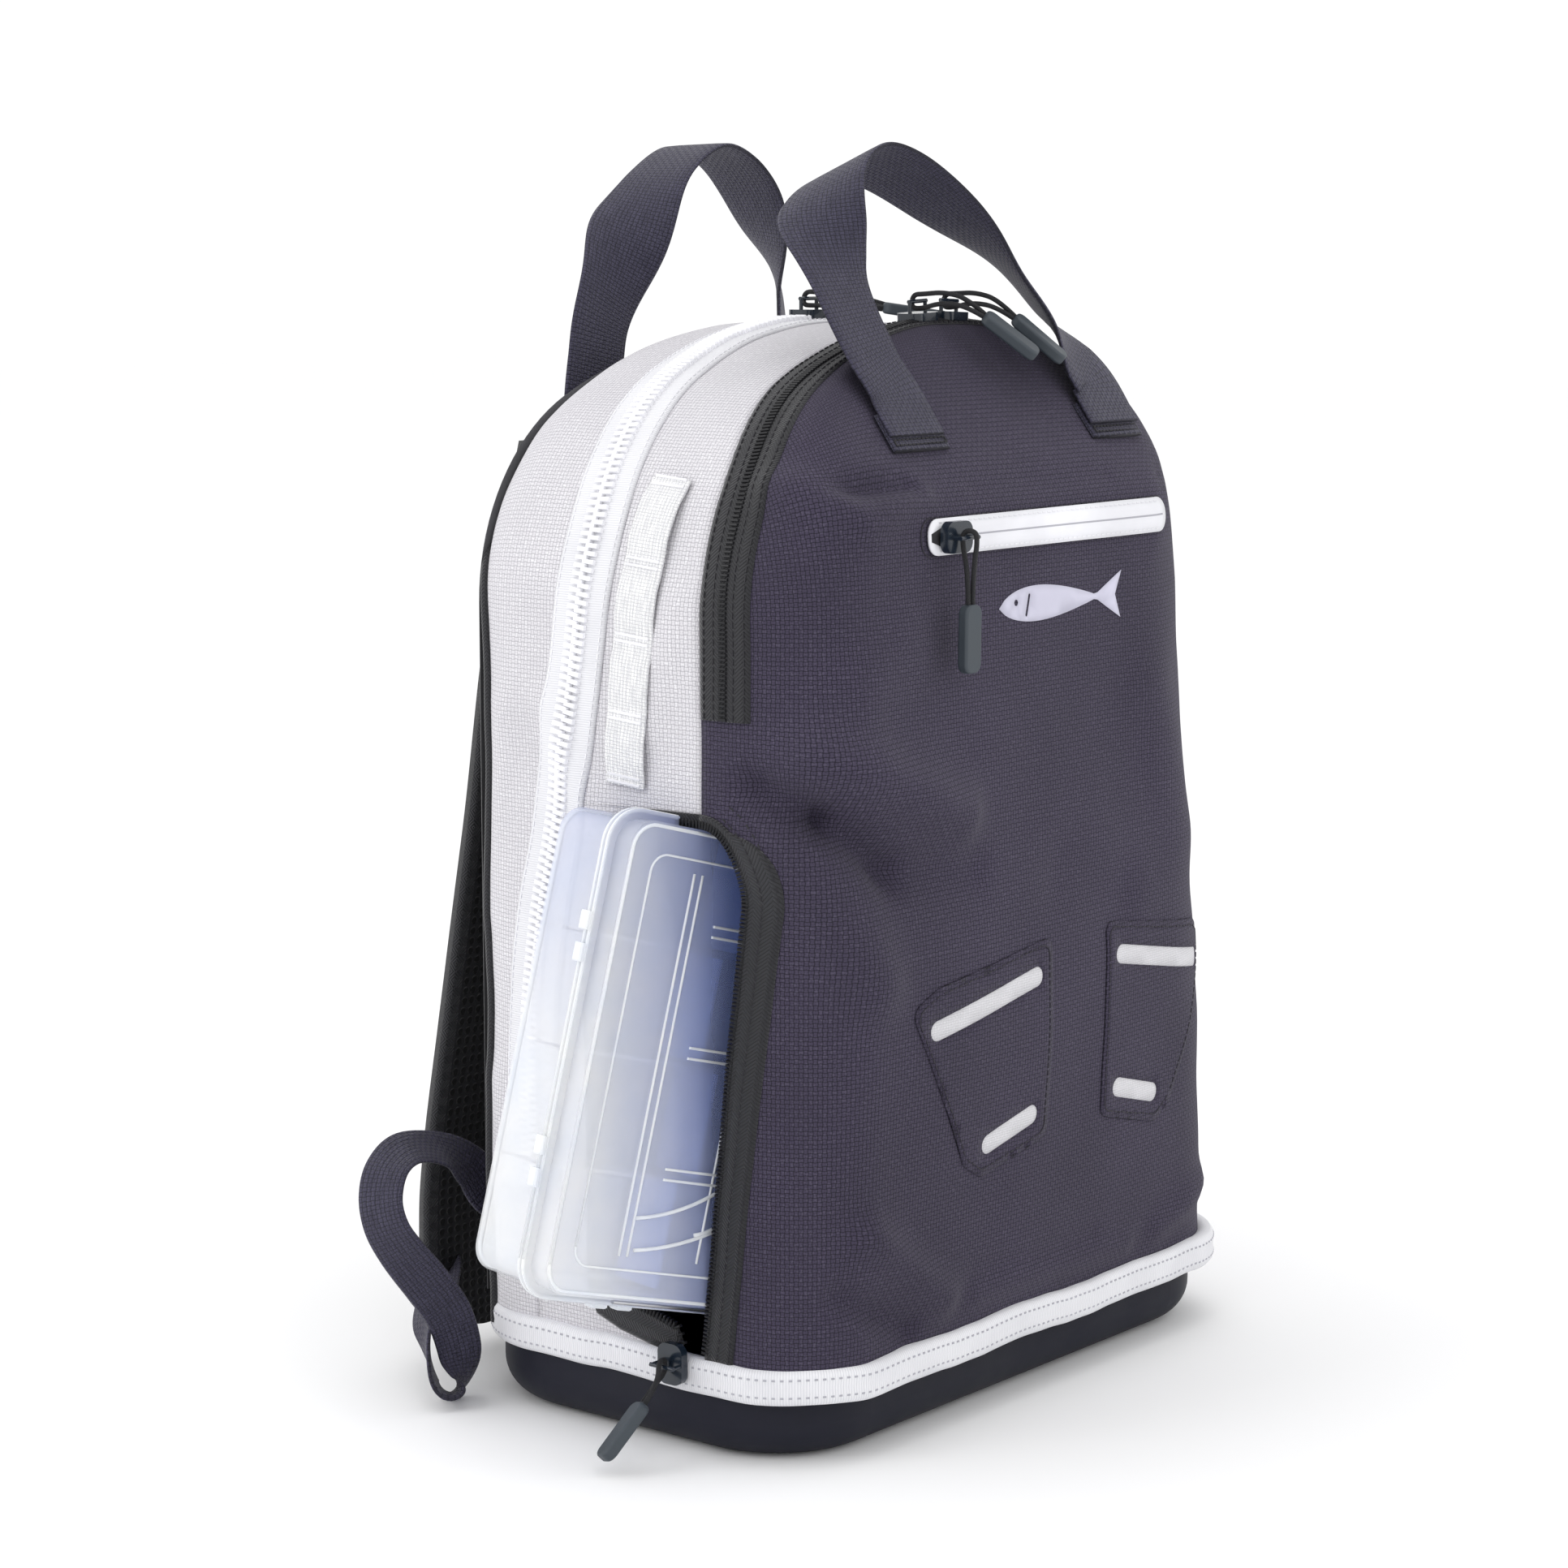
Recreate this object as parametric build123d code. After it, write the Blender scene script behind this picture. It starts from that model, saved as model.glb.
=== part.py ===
from build123d import *
import math
import os

# Tackle backpack. Millimetres, +Z up, +X to the wearer's right hand when the bag is seen from the front,
# the dark front panel faces -Y and the shoulder straps are on +Y.
# The parts are written with their origin at the centre of the base's underside, on the floor. Heights in this
# file start from a level SOLE_Z below it.

# ---- Sewn body ----
HALF_WIDTH = 150.0
FRONT_Y = -94.0
BACK_Y = 88.0
CROWN_Z = 447.0
CROWN_R = 225.0
CROWN_HALF = 95.0
FRONT_CORNER_R = 38.0
BACK_CORNER_R = 24.0
SLOPE_FOOT = (-94.0, 382.0)
SLOPE_TOP = (-44.3, 447.0)
FABRIC = 2.4
SKIRT_LOW = 20.0

# ---- Moulded base ----
SOLE_Z = 22.0
TUB_WIDTH = 300.0
TUB_DEPTH = 174.0
TUB_TOP = 48.0
TUB_CORNER_R = 46.0
TUB_FOOT_R = 15.0
TUB_WALL = 5.0
TUB_FLOOR = 4.0
BINDING_TOP = 60.0
BINDING_PROUD = 3.0
BINDING_LAND = 10.0

# ---- Seams and zippers ----
FRONT_SEAM_Y = -42.0
UPPER_TAPE_Y = -64.0
UPPER_TAPE_FOOT = 305.0
REAR_SEAM_Y = 80.0
# Heights where the two front seams bend back over the shoulder, and a level above the whole bag.
SEAM_BEND_Z = 385.0
SEAM_CROWN_Z = 430.0
ABOVE_BAG_Z = 600.0
# Side view (y, z) of the main zipper's centre line, from its foot to above the crown.
MAIN_ZIP_LINE = [(43, 112), (43, 166), (38, 215), (28, 264), (17, 335), (14, 375), (19, 420), (26, 447),
                 (28, 480)]
TAPE_HALF = 14.0
TEETH_HALF = 4.8
TEETH_PROUD = 1.0
TAPE_GAP = 0.2
# Side view (y, z) of the opening that the utility box slides through, and its middle.
SIDE_MOUTH = [(-50, 275), (-62, 250), (-66, 170), (-62, 62), (-30, 61), (6, 68), (7, 170), (6, 270),
              (-20, 275)]
MOUTH_MIDDLE = (-28.0, 168.0)
MOUTH_TAPE = 3.0
COIL = 1.6
MOUTH_SPLIT_Y = -45.0
# Left end, right end, height above the floor and width of the front pocket's zipper.
POCKET_ZIP = (-81.0, 79.0, 370.0, 20.0)
POCKET_TAPE = 1.2
POUCH = (168.0, 4.4, 92.0)
POUCH_Z = 326.0

# ---- Lash points on the front ----
# Outline (x, z) of the left patch and its two slots (x, x, z, z). The right patch is its mirror image
# about LASH_MIDDLE.
LASH_OUTLINE = [(-97, 193), (-82, 200), (-9, 210), (-9, 130), (-50, 120), (-62, 127)]
LASH_SLOTS = [(-86, -16, 183, 196), (-51, -17, 132, 141)]
LASH_SLOT_HEIGHT = 8.0
LASH_MIDDLE = 10.0
LASH_PATCH = 1.0
LASH_BACKING = 0.6
DAISY_CHAIN = [(-38, 391), (-18, 389), (0, 278), (-20, 276)]

# ---- Webbing ----
HANDLE_HALF = 60.0
HANDLE_FOOT_Z = 420.0
HANDLE_TOP_Z = 515.0
HANDLE_WEB = 38.0
HANDLE_DEPTH = 8.0
HANDLE_THICK = 3.0
HANDLE_SIDE_Z = 462.0
TAB_THICK = 1.8
FRONT_HANDLE_PIVOT = (-73.0, 412.0)
FRONT_HANDLE_LEAN = 27.0
REAR_HANDLE_PIVOT = (90.5, 408.0)
REAR_HANDLE_LEAN = 2.0

# ---- Shoulder straps ----
STRAP_THICK = 11.0
STRAP_HALF = 33.0
STRAP_LINE = [(-66, 400), (-80, 330), (-86, 240), (-92, 160), (-98, 95), (-98, 64)]
STRAP_FACE = [(88.6, 401), (99, 350), (107, 270), (115, 190), (121, 120), (122, 60), (120, 25)]
BUCKLE_MIDDLE = (-98.0, 137.0, 62.0)
LOOP_MIDDLE = (-90.0, 129.4, 193.0)
# Anchor wing in side view (y, z), and the lower webbing in front view (x, z) from the wing to the buckle.
WING = [(88.4, 122), (88.4, 64), (96.6, 84), (96.6, 108)]
WEBBING_LINE = [(-124, 96), (-148, 114), (-176, 112), (-188, 92), (-178, 66), (-160, 44), (-146, 24.4),
                (-132, 25.5), (-124, 33)]
WEBBING_THICK = 1.8

# ---- Slider hardware ----
SLIDER_LENGTH = 16.0
SLIDER_WIDTH = 12.0
SLIDER_HEIGHT = 3.4
SLIDER_LIFT = 1.5
BAR_R = 0.8
BAR_RISE = 4.4
BRIDGE_HALF = 5.0
CORD_D = 2.0
GRIP_LENGTH = 26.0
GRIP_WIDTH = 10.0
GRIP_THICK = 4.6
# Crown sliders: middle along X and along Y.
CROWN_SLIDERS = {
    "main_left": (0, 27),
    "main_right": (22, 27),
    "front_left": (-10, -36),
    "front_right": (10, -36),
}
SLIDER_NAMES = list(CROWN_SLIDERS) + ["pocket", "side"]
POCKET_SLIDER_INSET = 13.0
SIDE_SLIDER = (-HALF_WIDTH - BINDING_PROUD, -32.0, 58.0)

# ---- Utility box ----
BOX_LENGTH = 279.0
BOX_HEIGHT = 184.0
BOX_THICK = 44.0
BOX_LID = 11.0
BOX_WALL = 1.8
BOX_RIM = 3.5
BOX_CORNER_R = 14.0
BOX_PITCH = 14.8
BOX_YAW = -10.8
BOX_PLACE = (-230.5, -28.7, 98.2)
BOX_ROWS = 4
DIVIDER_PLACES = (70, 128, 196)
LATCH_PLACES = (62, 217)


def crown_join():
    """Angle from straight up, at the crown arc's centre, where the crown meets the shoulder."""
    return math.asin(CROWN_HALF / CROWN_R)


def shoulder_radius():
    """Radius of the arc that joins the crown to the upright side."""
    return (HALF_WIDTH - CROWN_HALF) / (1 - math.sin(crown_join()))


def outline_face(inset):
    """Arched outline seen from the front, moved inward by inset."""
    join = crown_join()
    radius = shoulder_radius()
    centre_x = HALF_WIDTH - radius
    centre_z = CROWN_Z - CROWN_R + (CROWN_R - radius) * math.cos(join)
    half = HALF_WIDTH - inset
    join_x = (CROWN_R - inset) * math.sin(join)
    join_z = CROWN_Z - CROWN_R + (CROWN_R - inset) * math.cos(join)
    middle = (math.pi / 2 - join) / 2
    mid_x = centre_x + (radius - inset) * math.cos(middle)
    mid_z = centre_z + (radius - inset) * math.sin(middle)
    edges = [
        Line((-half, 0, SKIRT_LOW), (-half, 0, centre_z)),
        ThreePointArc((-half, 0, centre_z), (-mid_x, 0, mid_z), (-join_x, 0, join_z)),
        ThreePointArc((-join_x, 0, join_z), (0, 0, CROWN_Z - inset), (join_x, 0, join_z)),
        ThreePointArc((join_x, 0, join_z), (mid_x, 0, mid_z), (half, 0, centre_z)),
        Line((half, 0, centre_z), (half, 0, SKIRT_LOW)),
        Line((half, 0, SKIRT_LOW), (-half, 0, SKIRT_LOW)),
    ]
    return make_face(edges)


def side_prism(points, x_from=-260.0, x_to=260.0):
    """Prism along X over a polygon of (y, z) points."""
    corners = [(x_from, y, z) for y, z in points]
    face = make_face(Polyline(*corners, close=True))
    return extrude(face, amount=x_to - x_from, dir=(1, 0, 0))


def front_prism(points, y_from, y_to):
    """Prism along Y over a polygon of (x, z) points."""
    corners = [(x, y_from, z) for x, z in points]
    face = make_face(Polyline(*corners, close=True))
    return extrude(face, amount=y_to - y_from, dir=(0, 1, 0))


def slope_cutter(inset):
    """Everything in front of the sloping top of the front panel."""
    run = SLOPE_TOP[0] - SLOPE_FOOT[0]
    rise = SLOPE_TOP[1] - SLOPE_FOOT[1]
    length = math.hypot(run, rise)
    along = (run / length, rise / length)
    out = (-along[1], along[0])
    foot = (SLOPE_FOOT[0] - out[0] * inset, SLOPE_FOOT[1] - out[1] * inset)
    low = (foot[0] - along[0] * 60, foot[1] - along[1] * 60)
    high = (foot[0] + along[0] * 200, foot[1] + along[1] * 200)
    reach = 200.0
    return side_prism([
        low,
        high,
        (high[0] + out[0] * reach, high[1] + out[1] * reach),
        (low[0] + out[0] * reach, low[1] + out[1] * reach),
    ])


def rim_edges(block, y):
    """Edges of the face at y, apart from the one along the bottom."""
    return [e for e in block.edges()
            if abs(e.bounding_box().min.Y - y) < 0.01
            and abs(e.bounding_box().max.Y - y) < 0.01
            and e.center().Z > SKIRT_LOW + 1]


def bag_block(inset):
    """Solid of the sewn body's outside, moved inward by inset on every side."""
    front = FRONT_Y + inset
    back = BACK_Y - inset
    block = Pos(0, front, 0) * extrude(outline_face(inset), amount=back - front, dir=(0, 1, 0))
    block = fillet(rim_edges(block, front), FRONT_CORNER_R - inset)
    block = fillet(rim_edges(block, back), BACK_CORNER_R - inset)
    return block - slope_cutter(inset)


def above_binding():
    """The space above the binding tape, where the sewn body is."""
    return side_prism([(-200, BINDING_TOP), (200, BINDING_TOP), (200, ABOVE_BAG_Z), (-200, ABOVE_BAG_Z)])


def zip_band(offset_front, offset_rear, low, high):
    """Region between two lines that follow the main zipper, cut to a height range."""
    def edge(offset):
        return Spline(*[(-260, y + offset, z) for y, z in MAIN_ZIP_LINE])
    first = edge(offset_front)
    second = edge(offset_rear)
    face = make_face([first, Line(first @ 1, second @ 1), second, Line(second @ 0, first @ 0)])
    band = extrude(face, amount=520, dir=(1, 0, 0))
    return band & side_prism([(-200, low), (200, low), (200, high), (-200, high)])


def lower_rear():
    """Region under the main zipper's foot and behind its centre line."""
    seam = MAIN_ZIP_LINE[0][0]
    foot = MAIN_ZIP_LINE[0][1]
    return side_prism([(seam, 0), (REAR_SEAM_Y, 0), (REAR_SEAM_Y, foot), (seam, foot)])


def mouth_prism(grow=0.0):
    """The side opening of the front compartment, on the -X side only."""
    centre_y, centre_z = MOUTH_MIDDLE
    points = []
    for y, z in SIDE_MOUTH:
        away = math.hypot(y - centre_y, z - centre_z)
        points.append((y + (y - centre_y) / away * grow, z + (z - centre_z) / away * grow))
    return side_prism(points, -260, -100)


def ahead_of(y):
    """Everything in front of an upright plane."""
    return side_prism([(-200, 0), (y, 0), (y, ABOVE_BAG_Z), (-200, ABOVE_BAG_Z)])


def make_panels():
    """The fabric panels, cut from one hollow body along the seams."""
    shell = (bag_block(0) - bag_block(FABRIC)) & above_binding()
    top = ABOVE_BAG_Z
    zip_foot = MAIN_ZIP_LINE[0][1]
    front_seam = [(UPPER_TAPE_Y, SEAM_BEND_Z), (-52, SEAM_CROWN_Z), (-50, top)]
    gusset_seam = [(FRONT_SEAM_Y, SEAM_BEND_Z), (-32, SEAM_CROWN_Z), (-30, top)]
    tape_foot = [(FRONT_SEAM_Y, UPPER_TAPE_FOOT), (UPPER_TAPE_Y, UPPER_TAPE_FOOT)]
    front_region = side_prism([(-200, 0), (FRONT_SEAM_Y, 0)] + tape_foot + front_seam + [(-200, top)])
    upper_tape_region = side_prism(tape_foot + front_seam + gusset_seam[::-1])
    behind_tape = side_prism([(FRONT_SEAM_Y, 0), (REAR_SEAM_Y, 0), (REAR_SEAM_Y, top)] + gusset_seam[::-1])
    rear_half = side_prism([(REAR_SEAM_Y, 0), (200, 0), (200, top), (REAR_SEAM_Y, top)])
    mouth = mouth_prism()
    zip_zone = zip_band(-TAPE_HALF, TAPE_HALF, zip_foot, top)
    rear_zone = zip_band(TAPE_HALF, 120, zip_foot, top) + lower_rear()
    gussets = (shell & behind_tape) - zip_zone
    rear_gusset = gussets & rear_zone
    middle_gusset = gussets - rear_zone - mouth
    edging = mouth_tape(shell, mouth)
    split = MOUTH_SPLIT_Y
    return {
        "front_panel": (shell & front_region) - mouth,
        "front_zip_tape": shell & upper_tape_region,
        "middle_gusset": middle_gusset,
        "rear_gusset": rear_gusset,
        "back_panel": (bag_block(0) & above_binding()) & rear_half,
        "main_zip_tape_front": shell & zip_band(-TAPE_HALF, -TEETH_HALF - TAPE_GAP, zip_foot, top),
        "main_zip_tape_rear": shell & zip_band(TEETH_HALF + TAPE_GAP, TAPE_HALF, zip_foot, top),
        "main_zip_teeth": (bag_block(-TEETH_PROUD) - bag_block(FABRIC))
        & zip_band(-TEETH_HALF, TEETH_HALF, zip_foot, top),
        "side_zip_tape_front": edging & ahead_of(split),
        "side_zip_tape_rear": edging - ahead_of(split + 0.4),
    }


def mouth_tape(shell, mouth):
    """Zipper tape just inside the edge of the side opening, clear of the box."""
    return (shell & mouth) - mouth_prism(-MOUTH_TAPE)


def make_coils():
    """The two halves of the open side zipper's coil, along the free edges of its tapes."""
    ring = (bag_block(-1.0) - bag_block(FABRIC)) & above_binding()
    coil = (ring & mouth_prism(-MOUTH_TAPE - 0.2)) - mouth_prism(-MOUTH_TAPE - 0.2 - COIL)
    top = ABOVE_BAG_Z
    front = coil & side_prism([(-200, 64), (MOUTH_SPLIT_Y - 2, 64), (MOUTH_SPLIT_Y - 2, top), (-200, top)])
    rear = coil & side_prism([(MOUTH_SPLIT_Y + 5, 74), (200, 74), (200, top), (MOUTH_SPLIT_Y + 5, top)])
    return {"side_zip_coils": front + rear}


def surface_strip(thick, region):
    """A layer laid on the outside of the sewn body over a region."""
    return (bag_block(-thick) - bag_block(0)) & region & above_binding()


def make_trim():
    """Piping round the back panel and the daisy chains on both sides."""
    near = REAR_SEAM_Y - 1.4
    far = REAR_SEAM_Y + 1.4
    bead = side_prism([(near, 0), (far, 0), (far, ABOVE_BAG_Z), (near, ABOVE_BAG_Z)])
    return {
        "back_piping": surface_strip(1.8, bead),
        "daisy_chain_left": surface_strip(1.6, side_prism(DAISY_CHAIN, -260, -80)),
        "daisy_chain_right": surface_strip(1.6, side_prism(DAISY_CHAIN, 80, 260)),
    }


def plate(points, y_out, thick):
    """A flat plate that lies on the front panel, from y_out inward."""
    return front_prism(points, y_out, y_out + thick)


def slot_shape(x_from, x_to, z_from, z_to, height, y_from, y_to):
    """A slanted slot with round ends."""
    angle = math.degrees(math.atan2(z_to - z_from, x_to - x_from))
    length = math.hypot(x_to - x_from, z_to - z_from)
    slot = Plane.XZ * SlotOverall(length, height)
    solid = extrude(slot, amount=y_to - y_from)
    middle = ((x_from + x_to) / 2, y_to, (z_from + z_to) / 2)
    return Pos(*middle) * Rot(0, -angle, 0) * solid


def make_front_plates():
    """Pocket zipper, its pouch, and the lash points with the pale cloth behind their slots."""
    x_from, x_to, z_mid, height = POCKET_ZIP
    tape = slot_shape(x_from, x_to, z_mid, z_mid, height, FRONT_Y - POCKET_TAPE, FRONT_Y)
    pouch = Pos(0, FRONT_Y + FABRIC + 0.4 + POUCH[1] / 2, POUCH_Z) * Box(*POUCH)
    patches = lash_patch(False) + lash_patch(True)
    y_out = FRONT_Y - LASH_BACKING
    backing = plate(lash_outline(False), y_out, LASH_BACKING)
    backing += plate(lash_outline(True), y_out, LASH_BACKING)
    return {
        "pocket_zip_tape": tape,
        "pocket_bag": pouch,
        "lash_patches": patches,
        "lash_backings": backing,
    }


def lash_outline(mirrored):
    """Outline of one lash patch."""
    if not mirrored:
        return LASH_OUTLINE
    return [(2 * LASH_MIDDLE - x, z) for x, z in LASH_OUTLINE]


def lash_patch(mirrored):
    """One lash patch with its slots cut through."""
    y_out = FRONT_Y - LASH_BACKING - LASH_PATCH
    patch = plate(lash_outline(mirrored), y_out, LASH_PATCH)
    for x_a, x_b, z_a, z_b in LASH_SLOTS:
        if mirrored:
            slot = (2 * LASH_MIDDLE - x_b, 2 * LASH_MIDDLE - x_a, z_b, z_a)
        else:
            slot = (x_a, x_b, z_a, z_b)
        patch -= slot_shape(*slot, LASH_SLOT_HEIGHT, FRONT_Y - 3, FRONT_Y + 1)
    return patch


def rounded_block(width, depth, radius, z_from, z_to, y_mid=0.0):
    """Upright block with rounded corners."""
    face = RectangleRounded(width, depth, radius)
    return Pos(0, y_mid, z_from) * extrude(face, amount=z_to - z_from)


def make_base():
    """Moulded tub, open upward, and the binding that covers its joint with the cloth."""
    outer = rounded_block(TUB_WIDTH, TUB_DEPTH, TUB_CORNER_R, SOLE_Z, TUB_TOP)
    foot = outer.edges().group_by(Axis.Z)[0]
    outer = fillet(foot, TUB_FOOT_R)
    inner = rounded_block(TUB_WIDTH - 2 * TUB_WALL, TUB_DEPTH - 2 * TUB_WALL, TUB_CORNER_R - TUB_WALL,
                          SOLE_Z + TUB_FLOOR, TUB_TOP + 1)
    depth = BACK_Y - FRONT_Y
    middle = (BACK_Y + FRONT_Y) / 2
    band = rounded_block(2 * HALF_WIDTH + 2 * BINDING_PROUD, depth + 2 * BINDING_PROUD, TUB_CORNER_R,
                         TUB_TOP, BINDING_TOP, middle)
    hole = rounded_block(2 * HALF_WIDTH - 2 * BINDING_LAND, depth - 2 * BINDING_LAND,
                         TUB_CORNER_R - BINDING_LAND, TUB_TOP - 1, BINDING_TOP + 1, middle)
    return {"base_tub": outer - inner, "base_binding": band - hole}


def make_inside():
    """The stiff sheet behind the back pad and the wall between the two compartments."""
    reach = bag_block(FABRIC + 0.4) & above_binding()
    top = ABOVE_BAG_Z
    sheet = reach & side_prism([(77.6, 64), (79.4, 64), (79.4, top), (77.6, top)])
    wall = reach & side_prism([(3.0, 0), (5.0, 0), (5.0, top), (3.0, top)])
    return {"back_frame_sheet": sheet, "compartment_divider": wall}


def handle_arch():
    """Arched webbing in an upright plane, standing on y = 0."""
    def arch(inset):
        x_foot = HANDLE_HALF + 2 - inset
        x_side = HANDLE_HALF + 14 - inset
        left = (-x_side, 0, HANDLE_SIDE_Z)
        right = (x_side, 0, HANDLE_SIDE_Z)
        return [Line((-x_foot, 0, HANDLE_FOOT_Z), left),
                ThreePointArc(left, (0, 0, HANDLE_TOP_Z - inset), right),
                Line(right, (x_foot, 0, HANDLE_FOOT_Z))]
    outer = arch(0)
    inner = arch(HANDLE_THICK)
    feet = [Line(outer[2] @ 1, inner[2] @ 1), Line(inner[0] @ 0, outer[0] @ 0)]
    face = make_face(outer + inner + feet)
    return Pos(0, -HANDLE_DEPTH / 2, 0) * extrude(face, amount=HANDLE_DEPTH, dir=(0, 1, 0))


def make_handles():
    """The two carrying handles and the sewn ends that hold them."""
    front_y, front_z = FRONT_HANDLE_PIVOT
    rear_y, rear_z = REAR_HANDLE_PIVOT
    front = Pos(0, front_y - HANDLE_DEPTH / 2 - 3, 0) * handle_arch()
    front = front.rotate(Axis((0, front_y, front_z), (1, 0, 0)), -FRONT_HANDLE_LEAN)
    rear = Pos(0, rear_y + HANDLE_DEPTH / 2, 0) * handle_arch()
    rear = rear.rotate(Axis((0, rear_y, rear_z), (1, 0, 0)), REAR_HANDLE_LEAN)
    front_tabs = None
    rear_tabs = None
    for side in (-1, 1):
        x = side * HANDLE_HALF
        strip = side_prism([(-200, 403), (-50, 403), (-50, 419), (-200, 419)],
                           x - HANDLE_WEB / 2, x + HANDLE_WEB / 2)
        tab = surface_strip(TAB_THICK, strip)
        front_tabs = tab if front_tabs is None else front_tabs + tab
        tab = Pos(x * 0.86, BACK_Y + TAB_THICK / 2, 410.5) * Box(HANDLE_WEB, TAB_THICK, 13)
        rear_tabs = tab if rear_tabs is None else rear_tabs + tab
    return {"front_handle": front, "front_handle_tabs": front_tabs,
            "rear_handle": rear, "rear_handle_tabs": rear_tabs}


def strap_outline():
    """Outline of the left shoulder pad seen from behind, as a prism along Y."""
    left = Spline(*[(x - STRAP_HALF, 60, z) for x, z in STRAP_LINE])
    right = Spline(*[(x + STRAP_HALF, 60, z) for x, z in STRAP_LINE])
    end_x, end_z = STRAP_LINE[-1]
    toe = ThreePointArc(left @ 1, (end_x, 60, end_z - STRAP_HALF), right @ 1)
    face = make_face([left, toe, right, Line(right @ 0, left @ 0)])
    return extrude(face, amount=120, dir=(0, 1, 0))


def strap_sheet():
    """Bowed layer that the shoulder pad is cut from, as a prism along X."""
    near = Spline(*[(-180, y, z) for y, z in STRAP_FACE])
    far = Spline(*[(-180, y + STRAP_THICK, z) for y, z in STRAP_FACE])
    face = make_face([near, Line(near @ 1, far @ 1), far, Line(far @ 0, near @ 0)])
    return extrude(face, amount=180, dir=(1, 0, 0))


def ribbon(points, thick, y_from, y_to):
    """Thin ribbon that follows a line in an upright plane, with rounded bends."""
    path = FilletPolyline(*[(x, y_from, z) for x, z in points], radius=9.0)
    face = make_face(offset_2d_pair(path, thick))
    return extrude(face, amount=y_to - y_from, dir=(0, 1, 0))


def offset_2d_pair(path, thick):
    """Closed border half a thickness each side of a path that lies in an XZ plane."""
    normal = Vector(0, 1, 0)
    sides = []
    for sign in (-0.5, 0.5):
        edges = []
        for edge in path.edges():
            start = edge @ 0 + (edge % 0).cross(normal) * thick * sign
            middle = edge @ 0.5 + (edge % 0.5).cross(normal) * thick * sign
            end = edge @ 1 + (edge % 1).cross(normal) * thick * sign
            straight = edge.geom_type == GeomType.LINE
            edges.append(Line(start, end) if straight else ThreePointArc(start, middle, end))
        sides.append(edges)
    first, second = sides
    caps = [Line(first[0] @ 0, second[0] @ 0), Line(first[-1] @ 1, second[-1] @ 1)]
    return first + second + caps


def make_straps():
    """Both shoulder straps with their hardware, lower webbing and anchor wings."""
    pad = strap_outline() & strap_sheet()
    frame = Box(30, 4.6, 24)
    for slot_z in (-4, 4):
        frame -= Pos(0, 0, slot_z) * Box(24, 6, 4)
    buckle = Pos(*BUCKLE_MIDDLE) * frame
    loop = Pos(*LOOP_MIDDLE) * (Box(22, 3.2, 18) - Box(30, 1.2, 12))
    wing = side_prism(WING, -123, -121)
    webbing = ribbon(WEBBING_LINE, WEBBING_THICK, 97.0, 117.0)
    left = {"strap_pad": pad, "strap_buckle": buckle, "strap_loop": loop,
            "anchor_wing": wing, "strap_webbing": webbing}
    nodes = {}
    for name, solid in left.items():
        nodes[name + "_left"] = solid
        nodes[name + "_right"] = solid.mirror(Plane.YZ)
    return nodes


# Route of each pull cord in the pull's own frame: away from the bar, along the bar, outward.
# It leaves the grip, goes round the bar and comes back to the grip.
AROUND_BAR = [(2.8, -0.7, -2.8), (-2.6, -0.7, -2.6), (-2.6, 0.7, 2.6), (2.8, 0.7, 2.8)]
LYING = [(27, 17.6, -3.9), (18, 10.4, -2.9), (9.5, 2.4, -2.6)]
LYING_BACK = [(9.5, 5.0, 0.8), (17, 11.9, -1.5), (25.6, 19.4, -3.9)]
FLOPPED = [(25, 12.6, -7.6), (18, 8.0, -2.0), (10, 1.8, -0.6)]
FLOPPED_BACK = [(10, 4.2, 3.4), (17.2, 10.0, 0.8), (23.7, 14.8, -7.0)]
HANGING = [(27, -1.3, 0.4), (18, -1.3, 0.3), (9, -1.1, -0.9)]
HANGING_BACK = [(9, 1.1, 1.4), (18, 1.3, 0.7), (27, 1.3, 0.4)]
SHORT = [(13.6, -2.0, 11.2), (10.4, -1.4, 7.4), (6.8, -1.0, 3.6)]
SHORT_BACK = [(6.6, 1.0, 5.8), (10.0, 1.1, 9.2), (13.2, 0.6, 12.8)]


def cord_routes():
    """Route of each pull cord, grip to bar to grip."""
    lying = LYING + AROUND_BAR + LYING_BACK
    flopped = FLOPPED + AROUND_BAR + FLOPPED_BACK
    hanging = HANGING + AROUND_BAR + HANGING_BACK
    short = SHORT + AROUND_BAR + SHORT_BACK
    return {"main_left": lying, "main_right": lying, "front_left": flopped, "front_right": flopped,
            "pocket": hanging, "side": short}


def slider_frame(name):
    """Frame on the tape under the slider: x along its run, z outward."""
    if name == "pocket":
        place = (POCKET_ZIP[0] + POCKET_SLIDER_INSET, FRONT_Y - POCKET_TAPE, POCKET_ZIP[2])
        return Plane(origin=place, x_dir=(1, 0, 0), z_dir=(0, -1, 0))
    if name == "side":
        return Plane(origin=SIDE_SLIDER, x_dir=(0, 0, 1), z_dir=(-1, 0, 0))
    x, y = CROWN_SLIDERS[name]
    rise = math.sqrt(CROWN_R ** 2 - x ** 2)
    return Plane(origin=(x, y, CROWN_Z - CROWN_R + rise), x_dir=(rise, 0, -x), z_dir=(x, 0, rise))


def bar_along(name):
    """Direction of the slider's bar: along its run, or across it on the side slider."""
    frame = slider_frame(name)
    return -frame.y_dir if name == "side" else frame.x_dir


def pull_frame(name):
    """Frame of the pull, centred on the bar: x away from the bar, y along it, z outward."""
    frame = slider_frame(name)
    rise = SLIDER_LIFT + SLIDER_HEIGHT + BAR_RISE
    return Plane(origin=frame.origin + frame.z_dir * rise, x_dir=bar_along(name).cross(frame.z_dir),
                 z_dir=frame.z_dir)


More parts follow.
